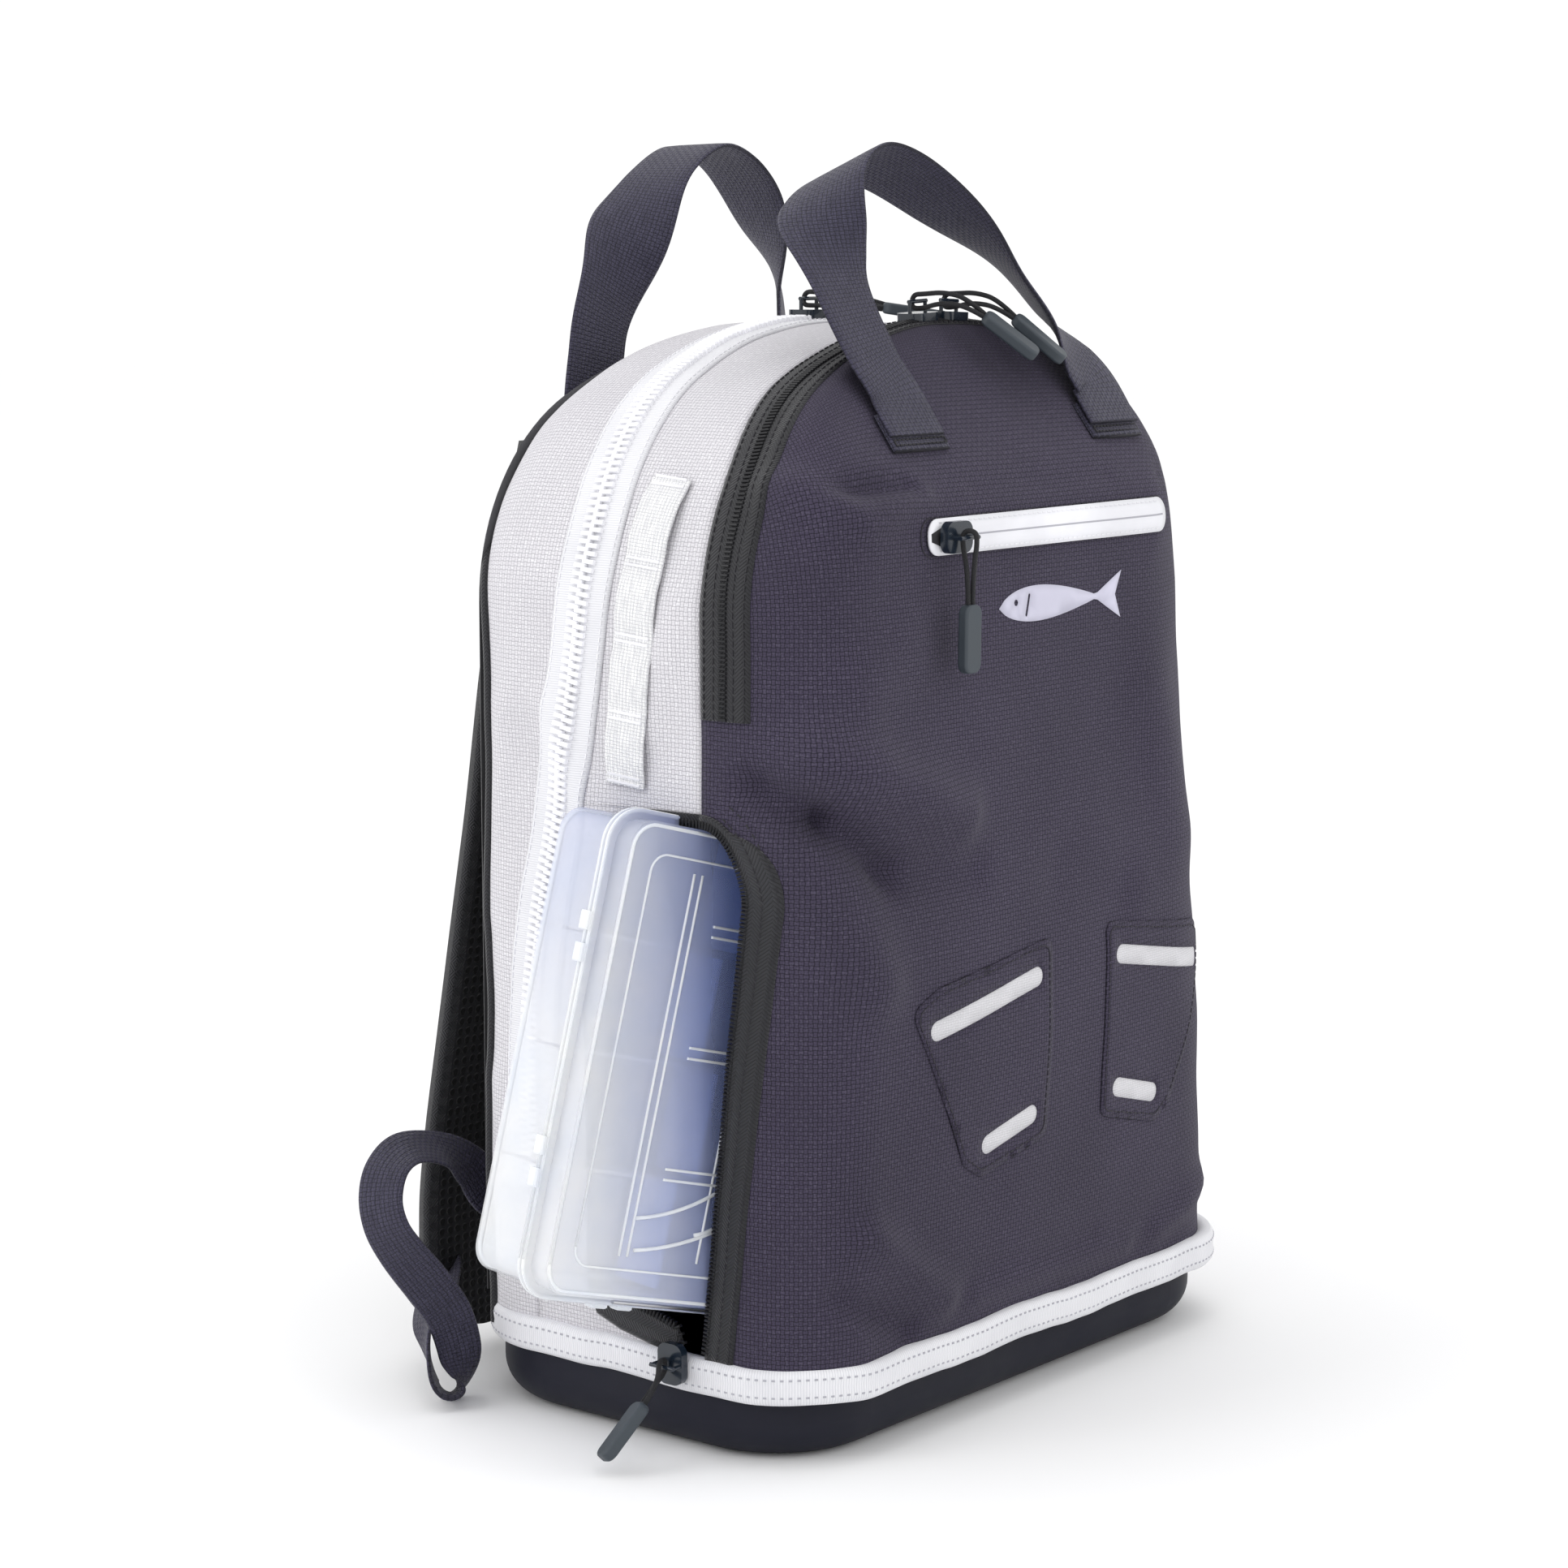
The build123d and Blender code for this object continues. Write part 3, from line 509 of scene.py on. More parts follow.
def ribbon(name, centres, normals, width, thick, materials):
    """Flat webbing along centres, its face toward normals, with rounded edges."""
    profile = [(-0.5, 0.0), (-0.47, 0.42), (-0.3, 0.5), (0.0, 0.5), (0.3, 0.5), (0.47, 0.42), (0.5, 0.0),
               (0.47, -0.42), (0.3, -0.5), (0.0, -0.5), (-0.3, -0.5), (-0.47, -0.42), (-0.5, 0.0)]
    rows = []
    uvs = []
    run = 0.0
    for i, (centre, normal) in enumerate(zip(centres, normals)):
        ahead = centres[min(i + 1, len(centres) - 1)]
        behind = centres[max(i - 1, 0)]
        tangent = (ahead - behind).normalized()
        up = (normal - tangent * normal.dot(tangent)).normalized()
        across = tangent.cross(up)
        if i:
            run += (centre - centres[i - 1]).length
        rows.append([centre + across * w * width + up * h * thick for w, h in profile])
        uvs.append([(run, (w + (1.2 if h < 0 else 0)) * width) for w, h in profile])
    obj = grid(name, rows, uvs, materials)
    fused(obj, 0.01)
    close_ends(obj)
    return obj


def close_ends(obj):
    """Fill the open ends of a tube-like mesh, and point all faces outward."""
    work = bmesh.new()
    work.from_mesh(obj.data)
    rim = [e for e in work.edges if e.is_boundary]
    bmesh.ops.holes_fill(work, edges=rim, sides=0)
    bmesh.ops.recalc_face_normals(work, faces=work.faces)
    work.to_mesh(obj.data)
    work.free()


# ------------------------------------------------------------------ materials

class Shader:
    """Small helper round one Principled material's nodes."""

    def __init__(self, name, color, roughness, **sockets):
        self.material = bpy.data.materials.new(name)
        self.material.use_nodes = True
        self.tree = self.material.node_tree
        self.surface = self.tree.nodes["Principled BSDF"]
        self.surface.inputs["Base Color"].default_value = (*color, 1)
        self.surface.inputs["Roughness"].default_value = roughness
        for socket, value in sockets.items():
            self.surface.inputs[socket.replace("_", " ")].default_value = value

    def link(self, value, socket):
        if isinstance(value, (int, float)):
            socket.default_value = value
        else:
            self.tree.links.new(value, socket)

    def math(self, operation, a, b=0.0, c=0.0):
        node = self.tree.nodes.new("ShaderNodeMath")
        node.operation = operation
        self.link(a, node.inputs[0])
        self.link(b, node.inputs[1])
        self.link(c, node.inputs[2])
        return node.outputs[0]

    def coordinates(self, kind):
        node = self.tree.nodes.new("ShaderNodeTexCoord")
        return node.outputs[kind]

    def split(self, vector):
        node = self.tree.nodes.new("ShaderNodeSeparateXYZ")
        self.tree.links.new(vector, node.inputs[0])
        return node.outputs[0], node.outputs[1], node.outputs[2]

    def noise(self, size, detail=2.0, kind="Object", stretch=(1, 1, 1)):
        mapping = self.tree.nodes.new("ShaderNodeMapping")
        mapping.inputs["Scale"].default_value = tuple(s / (size * MM) for s in stretch)
        self.tree.links.new(self.coordinates(kind), mapping.inputs[0])
        node = self.tree.nodes.new("ShaderNodeTexNoise")
        node.inputs["Scale"].default_value = 1.0
        node.inputs["Detail"].default_value = detail
        self.tree.links.new(mapping.outputs[0], node.inputs["Vector"])
        return node.outputs["Fac"]

    def span(self, value, low, high, to_low=0.0, to_high=1.0):
        node = self.tree.nodes.new("ShaderNodeMapRange")
        self.link(value, node.inputs["Value"])
        for name, number in (("From Min", low), ("From Max", high), ("To Min", to_low), ("To Max", to_high)):
            node.inputs[name].default_value = number
        return node.outputs[0]

    def mix(self, share, first, second):
        node = self.tree.nodes.new("ShaderNodeMix")
        node.data_type = "RGBA"
        self.link(share, node.inputs[0])
        for value, socket in ((first, node.inputs[6]), (second, node.inputs[7])):
            if isinstance(value, tuple):
                socket.default_value = (*value, 1)
            else:
                self.tree.links.new(value, socket)
        return node.outputs[2]

    def color(self, value):
        self.tree.links.new(value, self.surface.inputs["Base Color"])

    def rough(self, value):
        self.tree.links.new(value, self.surface.inputs["Roughness"])

    def bump(self, height, distance, strength=1.0, below=None):
        node = self.tree.nodes.new("ShaderNodeBump")
        node.inputs["Strength"].default_value = strength
        node.inputs["Distance"].default_value = distance * MM
        self.tree.links.new(height, node.inputs["Height"])
        if below is not None:
            self.tree.links.new(below, node.inputs["Normal"])
        self.tree.links.new(node.outputs[0], self.surface.inputs["Normal"])
        return node.outputs[0]

    def ripple(self, value, turns=1):
        """Rounded ridges, turns of them for each whole step of value."""
        return self.math("ABSOLUTE", self.math("SINE", self.math("MULTIPLY", value, turns * math.pi)))

    def threads(self, pitch_u, pitch_v):
        """Height of a basket weave."""
        across, up, _ = self.split(self.coordinates("UV"))
        u = self.math("DIVIDE", across, pitch_u * MM)
        v = self.math("DIVIDE", up, pitch_v * MM)
        cells = self.math("ADD", self.math("FLOOR", u), self.math("FLOOR", v))
        over = self.math("FLOORED_MODULO", cells, 2.0)
        first = self.math("MULTIPLY", self.ripple(u), self.math("MULTIPLY_ADD", self.ripple(v, 2), 0.5, 0.5))
        second = self.math("MULTIPLY", self.ripple(v), self.math("MULTIPLY_ADD", self.ripple(u, 2), 0.5, 0.5))
        return self.math("ADD", self.math("MULTIPLY", first, over),
                         self.math("MULTIPLY", second, self.math("SUBTRACT", 1.0, over)))


def woven(name, dark, light, thread_highlight, pitch, bump, sheen):
    """Plain basket-woven cloth: gaps dark, threads light, and paler spots on random threads as painted
    highlights on the thread tops.
    """
    s = Shader(name, light, 0.8, Sheen_Weight=sheen, Sheen_Roughness=0.5, Specular_IOR_Level=0.25)
    height = s.threads(pitch, pitch)
    # Painted highlights: random threads are mixed toward the paler highlight colour.
    highlight_share = s.span(s.noise(pitch * 0.9, 1.0, "UV"), 0.52, 0.66)
    threads = s.mix(highlight_share, light, thread_highlight)
    # Darker in soft random patches, at most a fifth of the way toward the gap colour.
    patchy = s.span(s.noise(60, 3.0), 0.35, 0.7, 0.0, 0.22)
    blotched = s.mix(patchy, threads, dark)
    s.color(s.mix(s.span(height, 0.05, 0.6), dark, blotched))
    s.bump(height, bump, 0.7)
    return s.material


def webbing_cloth(name, dark, light, pitch_u, pitch_v):
    """Nylon webbing: raised floats in rows along the band."""
    s = Shader(name, light, 0.55, Sheen_Weight=0.08, Specular_IOR_Level=0.3)
    height = s.threads(pitch_u, pitch_v)
    streak = s.noise(1.2, 1.0, "UV", (0.15, 1.5, 1))
    thread = s.mix(s.span(streak, 0.4, 0.65), light, tuple(min(1.0, c * 1.35 + 0.006) for c in light))
    s.color(s.mix(s.span(height, 0.08, 0.5), dark, thread))
    s.bump(height, 0.45, 0.9)
    return s.material


def herringbone(name, dark, light):
    """Twill tape with its ribs in chevrons."""
    band, pitch = 7.0, 1.5
    s = Shader(name, light, 0.62, Sheen_Weight=0.2, Specular_IOR_Level=0.35)
    u, v, _ = s.split(s.coordinates("UV"))
    folded = s.math("PINGPONG", v, band / 2 * MM)
    rib = s.ripple(s.math("DIVIDE", s.math("ADD", u, folded), pitch * MM))
    s.color(s.mix(s.span(rib, 0.1, 0.7), dark, light))
    s.bump(rib, 0.3, 0.8)
    return s.material


def ribbed_tape(name, dark, light, pitch):
    """Grosgrain: fine ribs across the tape, with slight soiling."""
    s = Shader(name, light, 0.7, Sheen_Weight=0.3, Specular_IOR_Level=0.3)
    rib = s.ripple(s.math("DIVIDE", s.split(s.coordinates("UV"))[0], pitch * MM))
    patchy = s.span(s.noise(22, 3.0), 0.45, 0.75, 0.0, 0.35)
    s.color(s.mix(patchy, s.mix(s.span(rib, 0.0, 0.5), dark, light), dark))
    s.bump(rib, 0.2, 0.6)
    return s.material


def spacer_mesh(name):
    """Padded mesh with rows of small holes."""
    cell = 4.2
    s = Shader(name, (0.01, 0.01, 0.012), 0.75, Sheen_Weight=0.1, Specular_IOR_Level=0.25)
    mapping = s.tree.nodes.new("ShaderNodeMapping")
    mapping.inputs["Scale"].default_value = (1 / (cell * MM),) * 3
    s.tree.links.new(s.coordinates("UV"), mapping.inputs[0])
    cells = s.tree.nodes.new("ShaderNodeTexVoronoi")
    cells.voronoi_dimensions = "2D"
    cells.inputs["Scale"].default_value = 1.0
    cells.inputs["Randomness"].default_value = 0.12
    s.tree.links.new(mapping.outputs[0], cells.inputs["Vector"])
    wall = s.span(cells.outputs["Distance"], 0.28, 0.42)
    s.color(s.mix(wall, (0.001, 0.001, 0.0015), (0.014, 0.014, 0.017)))
    s.bump(wall, 1.0, 0.9)
    return s.material


def moulded(name, color, roughness, grain=0.7, depth=0.06, **sockets):
    """Moulded plastic or rubber with a fine grain and slight unevenness."""
    s = Shader(name, color, roughness, **sockets)
    fine = s.noise(grain, 3.0)
    broad = s.noise(35, 3.0)
    s.rough(s.span(broad, 0.3, 0.7, roughness * 0.85, min(1.0, roughness * 1.15)))
    s.color(s.mix(s.span(broad, 0.35, 0.7, 0.0, 0.4), color, tuple(c * 1.5 + 0.002 for c in color)))
    s.bump(fine, depth, 0.5)
    return s.material


def clear_plastic(name, color, alpha, deep=None):
    """Clear polypropylene, faintly clouded, and deeper in colour toward the inside of the bag."""
    s = Shader(name, color, 0.16, Alpha=alpha, Specular_IOR_Level=0.6, Coat_Weight=0.3)
    cloud = s.noise(18, 3.0)
    tint = s.mix(s.span(cloud, 0.3, 0.7), color, tuple(min(1.0, c * 1.12 + 0.02) for c in color))
    if deep:
        tint = s.mix(s.span(s.split(s.coordinates("Generated"))[0], 0.08, 0.36), tint, deep)
    s.color(tint)
    s.bump(s.noise(9, 2.0), 0.35, 0.35)
    return s.material


# Each cloth's gap colour, thread colour and the paler colour of its painted thread highlights.
DARK = woven("dark_cloth", (0.0085, 0.007, 0.014), (0.05, 0.041, 0.073), (0.072, 0.061, 0.1), 1.7, 0.35, 0.06)
DARK_INSIDE = woven("dark_lining", (0.006, 0.006, 0.008), (0.016, 0.015, 0.02), (0.03, 0.03, 0.036), 1.0, 0.2,
                    0.1)
PALE = woven("pale_cloth", (0.4, 0.39, 0.42), (0.7, 0.685, 0.72), (0.8, 0.79, 0.82), 1.7, 0.35, 0.1)
BACKING = woven("slot_cloth", (0.5, 0.5, 0.52), (0.7, 0.69, 0.72), (0.78, 0.77, 0.8), 1.0, 0.2, 0.1)
DARK_WEBBING = webbing_cloth("dark_webbing", (0.006, 0.005, 0.012), (0.034, 0.031, 0.058), 1.7, 1.9)
WHITE_WEBBING = webbing_cloth("white_webbing", (0.62, 0.62, 0.65), (0.8, 0.8, 0.82), 1.3, 1.6)
BLACK_TAPE = herringbone("black_tape", (0.003, 0.003, 0.004), (0.018, 0.018, 0.022))
WHITE_BINDING = ribbed_tape("white_binding", (0.6, 0.6, 0.64), (0.8, 0.8, 0.83), 1.1)
WHITE_TAPE = ribbed_tape("white_tape", (0.6, 0.6, 0.64), (0.76, 0.76, 0.79), 0.9)
WHITE_TEETH = moulded("white_teeth", (0.84, 0.84, 0.87), 0.35, 1.0, 0.02)
WHITE_COATED = moulded("white_coated_tape", (0.74, 0.74, 0.78), 0.38, 2.5, 0.06, Coat_Weight=0.2)
BLACK_COIL = moulded("black_coil", (0.01, 0.01, 0.012), 0.45, Specular_IOR_Level=0.3)
STRAP_MESH = spacer_mesh("strap_mesh")
NAVY = moulded("navy_plastic", (0.008, 0.014, 0.024), 0.24, 0.8, 0.02, Coat_Weight=0.3)
GRIP = moulded("grip_rubber", (0.035, 0.045, 0.056), 0.55)
BASE_RUBBER = moulded("base_rubber", (0.007, 0.0075, 0.0155), 0.6, 0.8, 0.08, Specular_IOR_Level=0.26)
CORD = webbing_cloth("cord_sheath", (0.004, 0.004, 0.005), (0.02, 0.02, 0.026), 0.9, 0.9)
CLEAR = clear_plastic("clear_polypropylene", (0.92, 0.95, 1.0), 0.4, (0.1, 0.2, 0.66))
DIVIDER = clear_plastic("clear_dividers", (0.16, 0.26, 0.7), 0.55)
EDGE = clear_plastic("clear_edges", (0.86, 0.9, 0.98), 0.75)
STEEL = moulded("steel_pin", (0.6, 0.6, 0.62), 0.3, 0.5, 0.02, Metallic=1.0)
STIFF = moulded("stiff_sheet", (0.08, 0.08, 0.085), 0.5)
DARK_THREAD = moulded("dark_thread", (0.01, 0.009, 0.013), 0.7, 0.5, 0.03)
CLOTH_THREAD = moulded("cloth_thread", (0.017, 0.014, 0.023), 0.7, 0.5, 0.03)
WHITE_THREAD = moulded("white_thread", (0.72, 0.72, 0.75), 0.7, 0.5, 0.03)
HOLE = moulded("stitch_hole", (0.38, 0.38, 0.42), 0.8, 0.5, 0.03)
PRINT = moulded("pale_print", (0.52, 0.51, 0.62), 0.45, 1.6, 0.05)


# ------------------------------------------------------------------ camera, light and floor

EYE = (-1195.5, -928.5, 483.8)
TARGET = (-49.35, 0, 265.12)
LENS = 85.8
FLOOR_HALF = 9000
WORLD_LIGHT = 1.05
# Each light's place, aim, side and power in watts. Their heights are from the floor.
LIGHTS = {
    "side_light": ((-1500, 900, 1100), (-120, 0, 260), 1100, 8),
    "top_light": ((-300, -300, 1900), (0, 0, 200), 1500, 5),
    "front_light": ((900, -1700, 900), (0, 0, 230), 1300, 3),
}


def make_camera():
    eye = scene_point(EYE)
    data = bpy.data.cameras.new("camera")
    data.lens = LENS
    data.sensor_width = 36.0
    data.clip_start = 0.05
    data.clip_end = 30.0
    camera = bpy.data.objects.new("camera", data)
    camera.location = eye
    camera.rotation_mode = "QUATERNION"
    camera.rotation_quaternion = (scene_point(TARGET) - eye).to_track_quat("-Z", "Y")
    bpy.context.scene.collection.objects.link(camera)
    bpy.context.scene.camera = camera


def make_studio():
    """A plain pale floor and soft light from all round."""
    corners = ((-1, -1), (1, -1), (1, 1), (-1, 1))
    points = [(x * FLOOR_HALF, y * FLOOR_HALF, SOLE.z - 0.2) for x, y in corners]
    floor = make_mesh("floor", points, [(0, 1, 2, 3)])
    paper = Shader("floor_paper", (0.955, 0.955, 0.96), 1.0, Specular_IOR_Level=0.0)
    floor.data.materials.append(paper.material)

    world = bpy.data.worlds.new("studio")
    world.use_nodes = True
    world.node_tree.nodes["Background"].inputs["Color"].default_value = (1.0, 1.0, 1.0, 1)
    world.node_tree.nodes["Background"].inputs["Strength"].default_value = WORLD_LIGHT
    bpy.context.scene.world = world
    bpy.context.scene.view_settings.view_transform = "Standard"
    for name, (place, target, size, power) in LIGHTS.items():
        area_light(name, place, target, size, power)


def area_light(name, place, target, size, power):
    data = bpy.data.lights.new(name, "AREA")
    data.shape = "SQUARE"
    data.size = size * MM
    data.energy = power
    light = bpy.data.objects.new(name, data)
    light.location = Vector(place) * MM
    light.rotation_mode = "QUATERNION"
    light.rotation_quaternion = (Vector(target) - Vector(place)).to_track_quat("-Z", "Y")
    bpy.context.scene.collection.objects.link(light)


# ------------------------------------------------------------------ pull cords

CROWN_SLIDERS = {
    "main_left": (0, 27),
    "main_right": (22, 27),
    "front_left": (-10, -36),
    "front_right": (10, -36),
}
BAR_HEIGHT = 9.3
CORD_D = 2.0
AROUND_BAR = [(2.8, -0.7, -2.8), (-2.6, -0.7, -2.6), (-2.6, 0.7, 2.6), (2.8, 0.7, 2.8)]
LYING = [(27, 17.6, -3.9), (18, 10.4, -2.9), (9.5, 2.4, -2.6)]
LYING_BACK = [(9.5, 5.0, 0.8), (17, 11.9, -1.5), (25.6, 19.4, -3.9)]
FLOPPED = [(25, 12.6, -7.6), (18, 8.0, -2.0), (10, 1.8, -0.6)]
FLOPPED_BACK = [(10, 4.2, 3.4), (17.2, 10.0, 0.8), (23.7, 14.8, -7.0)]
HANGING = [(27, -1.3, 0.4), (18, -1.3, 0.3), (9, -1.1, -0.9)]
HANGING_BACK = [(9, 1.1, 1.4), (18, 1.3, 0.7), (27, 1.3, 0.4)]
SHORT = [(13.6, -2.0, 11.2), (10.4, -1.4, 7.4), (6.8, -1.0, 3.6)]
SHORT_BACK = [(6.6, 1.0, 5.8), (10.0, 1.1, 9.2), (13.2, 0.6, 12.8)]
LYING_ROUTE = LYING + AROUND_BAR + LYING_BACK
FLOPPED_ROUTE = FLOPPED + AROUND_BAR + FLOPPED_BACK
PULLS = {
    "main_left": (LYING_ROUTE, 74.8),
    "main_right": (LYING_ROUTE, 74.8),
    "front_left": (FLOPPED_ROUTE, 70.3),
    "front_right": (FLOPPED_ROUTE, 70.3),
    "pocket": (HANGING + AROUND_BAR + HANGING_BACK, 63.1),
    "side": (SHORT + AROUND_BAR + SHORT_BACK, 45.8),
}


def pull_axes(name):
    """Bar centre of a slider, and its directions away from the bar, along it and outward."""
    if name == "pocket":
        foot, run, out = Vector((-68, -95.2, 370)), X_AXIS, -Y_AXIS
    elif name == "side":
        foot, run, out = Vector((-153, -32, 58)), -Y_AXIS, -X_AXIS
    else:
        x, y = CROWN_SLIDERS[name]
        rise = math.sqrt(CROWN_R ** 2 - x ** 2)
        foot = Vector((x, y, CROWN_CENTRE + rise))
        run = Vector((rise, 0, -x)).normalized()
        out = Vector((x, 0, rise)).normalized()
    return foot + out * BAR_HEIGHT, run.cross(out), run, out


def pull_route(name):
    """Points of a pull cord in the bag's frame."""
    bar, away, run, out = pull_axes(name)
    return [bar + away * a + run * b + out * c for a, b, c in PULLS[name][0]]


def make_cords():
    """The six pull cords, as smooth splines."""
    for name in PULLS:
        points = pull_route(name)
        curve = bpy.data.curves.new(name + "_pull_cord_line", "CURVE")
        curve.dimensions = "3D"
        curve.bevel_depth = CORD_D / 2 * MM
        curve.bevel_resolution = 3
        curve.resolution_u = 12
        spline = curve.splines.new("NURBS")
        spline.points.add(len(points) - 1)
        for knot, p in zip(spline.points, points):
            knot.co = (*scene_point(p), 1)
        spline.order_u = 3
        spline.use_endpoint_u = True
        curve.materials.append(CORD)
        obj = bpy.data.objects.new(name + "_cord", curve)
        bpy.context.scene.collection.objects.link(obj)
        finish_piece(obj, name + "_pull", "cord", name + "_pull_cord")
        scene_point(points[0])


# ------------------------------------------------------------------ cloth panels

def seam_y(z):
    """Y of the seam between the front panel and the pale gusset."""
    return along(SEAM_LINE, z)


def zip_y(z):
    """Y of the main zipper's centre line."""
    return along(MAIN_ZIP_LINE, z)


def rear_seam(z):
    """Y of the seam between the rear gusset and the back panel, further back over the shoulder."""
    return lerp(REAR_SEAM_Y, REAR_SEAM_TOP_Y, smooth(335, 400, z))


def mouth_span(z):
    """Front and rear edge of the side opening at height z."""
    rise = min(1.0, max(0.0, z - MOUTH_TOP + MOUTH_CAP) / MOUTH_CAP)
    near = math.sqrt(1 - rise * rise)
    far = (1 - rise ** MOUTH_ROUND) ** (1 / MOUTH_ROUND)
    foot = lerp(0.26, 1.0, smooth(67, 77, z))
    return seam_y(z) - along(MOUTH_FRONT, z) * near, seam_y(z) + MOUTH_REAR * far * foot


def columns():
    """Stations along the outline, closer together at the top of the side opening."""
    marks = steps(0, ARCH, 300)
    for a in steps(math.pi / 6, math.pi / 2, 8):
        marks.append(arch_at(MOUTH_TOP - MOUTH_CAP * (1 - math.sin(a))))
    return sorted(marks)


def front_section(d):
    """Half a row of the front panel, from the flat of the front round the corner to the side seam."""
    x, z, out_x, out_z = arch(d)
    radius = front_radius(x, z)
    edge = mouth_span(z)[0] if d < WALL and z < MOUTH_TOP else seam_y(z)
    rim = Vector((x - out_x * radius, z - out_z * radius))
    spots = []
    for t in steps(0, front_arc_length(edge, radius), 18):
        spots.append((skin(d, front_arc(t, radius))[0], (rim.x + out_x * t, rim.y + out_z * t)))
    return rim, spots


def make_front_panel():
    """Dark front cloth, in rows from the left side seam across the front to the right one."""
    rows = []
    uvs = []
    for d in [d for d in columns() if d < ARCH / 2] + [ARCH / 2]:
        left, left_spots = front_section(d)
        right, right_spots = front_section(ARCH - d)
        across = []
        for share in steps(0, 1, 66)[1:-1]:
            spot = left.lerp(right, share)
            across.append((front(spot.x, spot.y)[0], tuple(spot)))
        spots = left_spots[::-1] + across + right_spots
        rows.append([point for point, _ in spots])
        uvs.append([flat for _, flat in spots])
    obj = fused(grid("front_cloth", rows, uvs, [DARK, DARK_INSIDE]))
    thicken(obj, CLOTH_THICK, lining=1)
    finish_piece(obj, "bag", "dark_cloth", "front_panel")


def side_strip(name, span, count, lift, low, high, materials):
    """Strip over the arch between the y values span(z, d) gives, from d low to d high."""
    rows = []
    uvs = []
    for d in [low] + [d for d in columns() if low < d < high] + [high]:
        y_from, y_to = span(arch(d)[1], d)
        row = []
        for i in range(count + 1):
            y = lerp(y_from, y_to, i / count)
            row.append(skin(d, y, lift(i / count) if callable(lift) else lift)[0])
        rows.append(row)
        uvs.append([(d, lerp(y_from, y_to, i / count)) for i in range(count + 1)])
    return grid(name, rows, uvs, materials, flip=True)


def make_gussets():
    """Pale side cloth between the front seam, the main zipper and the back panel."""
    def middle(z, d):
        start = mouth_span(z)[1] if d < WALL and z < MOUTH_TOP else seam_y(z)
        return start, zip_y(z)
    obj = side_strip("middle_gusset_cloth", middle, 14, -0.2, 0, ARCH, [PALE, DARK_INSIDE])
    thicken(obj, CLOTH_THICK, lining=1)
    finish_piece(obj, "bag", "pale_cloth", "middle_gusset")
    obj = side_strip("rear_gusset_cloth", lambda z, d: (zip_y(z), rear_seam(z)), 16, 0.0, 0, ARCH,
                     [PALE, DARK_INSIDE])
    thicken(obj, CLOTH_THICK, lining=1)
    finish_piece(obj, "bag", "pale_cloth", "rear_gusset")


def tape_lift(share):
    """Height of a sewn tape over the cloth, lower at both edges."""
    return 0.25 + 0.85 * smooth(0, 0.12, share) * smooth(1, 0.88, share)


def make_upper_zipper():
    """Black zipper that closes the front compartment over the top."""
    low = arch_at(UPPER_TAPE_FOOT)
    high = ARCH - low
    obj = side_strip("front_zipper_tape", lambda z, d: (seam_y(z) - UPPER_TAPE, seam_y(z)), 12, tape_lift,
                     low, high, [BLACK_TAPE])
    thicken(obj, 1.0)
    finish_piece(obj, "bag", "black_tape", "front_zip_tape")

    def place(s, offset=-UPPER_TAPE / 2, lift=1.1):
        return skin(s, seam_y(arch(s)[1]) + offset, lift)
    coil = run_frames(place, high - low, 1.7, low)
    sewn("front_zipper_coil", coil, (1.0, 3.6, 0.9), BLACK_COIL, "black_tape")
    rows = []
    for offset in (-UPPER_TAPE + 2.2, -UPPER_TAPE / 2 - 4.4, -UPPER_TAPE / 2 + 4.4, -2.2):
        rows += run_frames(lambda s, o=offset: place(s, o, 1.1), high - low, 3.4, low)
    sewn("front_zipper_stitches", rows, (2.2, 0.55, 0.35), DARK_THREAD, "black_tape")


def make_main_zipper():
    """White moulded-tooth zipper over the arch."""
    low = arch_at(MAIN_ZIP_FOOT)
    high = ARCH - low
    for part, near, far in (("front", -TAPE_HALF, -0.2), ("rear", 0.2, TAPE_HALF)):
        def lift(share, flip=part == "rear"):
            share = 1 - share if flip else share
            return 0.3 + 0.9 * smooth(0, 0.15, share)
        obj = side_strip("main_zipper_tape_" + part, lambda z, d: (zip_y(z) + near, zip_y(z) + far), 8, lift,
                         low, high, [WHITE_TAPE])
        thicken(obj, 1.0)
        finish_piece(obj, "bag", "white_zipper", "main_zip_tape_" + part)
    teeth = []
    for side in (-1, 1):
        shift = 0.0 if side < 0 else 1.5
        teeth += run_frames(lambda s: skin(s, zip_y(arch(s)[1]) + side * 1.9, 1.1), high - low - 6, 3.0,
                            low + 3 + shift)
    obj = blocks("main_zipper_teeth", teeth, (1.75, 5.6, 2.2), [WHITE_TEETH])
    finish_piece(obj, "bag", "white_zipper", "main_zip_teeth")
    rows = []
    for offset in (-TAPE_HALF + 2.0, TAPE_HALF - 2.0):
        rows += run_frames(lambda s: skin(s, zip_y(arch(s)[1]) + offset, 1.15), high - low, 3.2, low)
    sewn("main_zipper_stitches", rows, (2.1, 0.6, 0.35), WHITE_THREAD, "white_zipper")


def mouth_line():
    """Edge of the side opening as (y, z), from its front foot over the top to its rear foot."""
    straight = MOUTH_TOP - MOUTH_CAP
    centre = seam_y(straight)
    line = [(mouth_span(z)[0], z) for z in steps(60, straight, 60)]
    for a in steps(math.pi, math.pi / 2, 16)[1:]:
        y = centre + along(MOUTH_FRONT, straight) * math.cos(a)
        line.append((y, straight + MOUTH_CAP * math.sin(a)))
    for a in steps(math.pi / 2, 0, 24)[1:]:
        y = centre + MOUTH_REAR * max(0.0, math.cos(a)) ** (2 / MOUTH_ROUND)
        line.append((y, straight + MOUTH_CAP * math.sin(a) ** (2 / MOUTH_ROUND)))
    line += [(mouth_span(z)[1], z) for z in steps(straight, 62, 60)[1:]]
    return [Vector(p) for p in line]


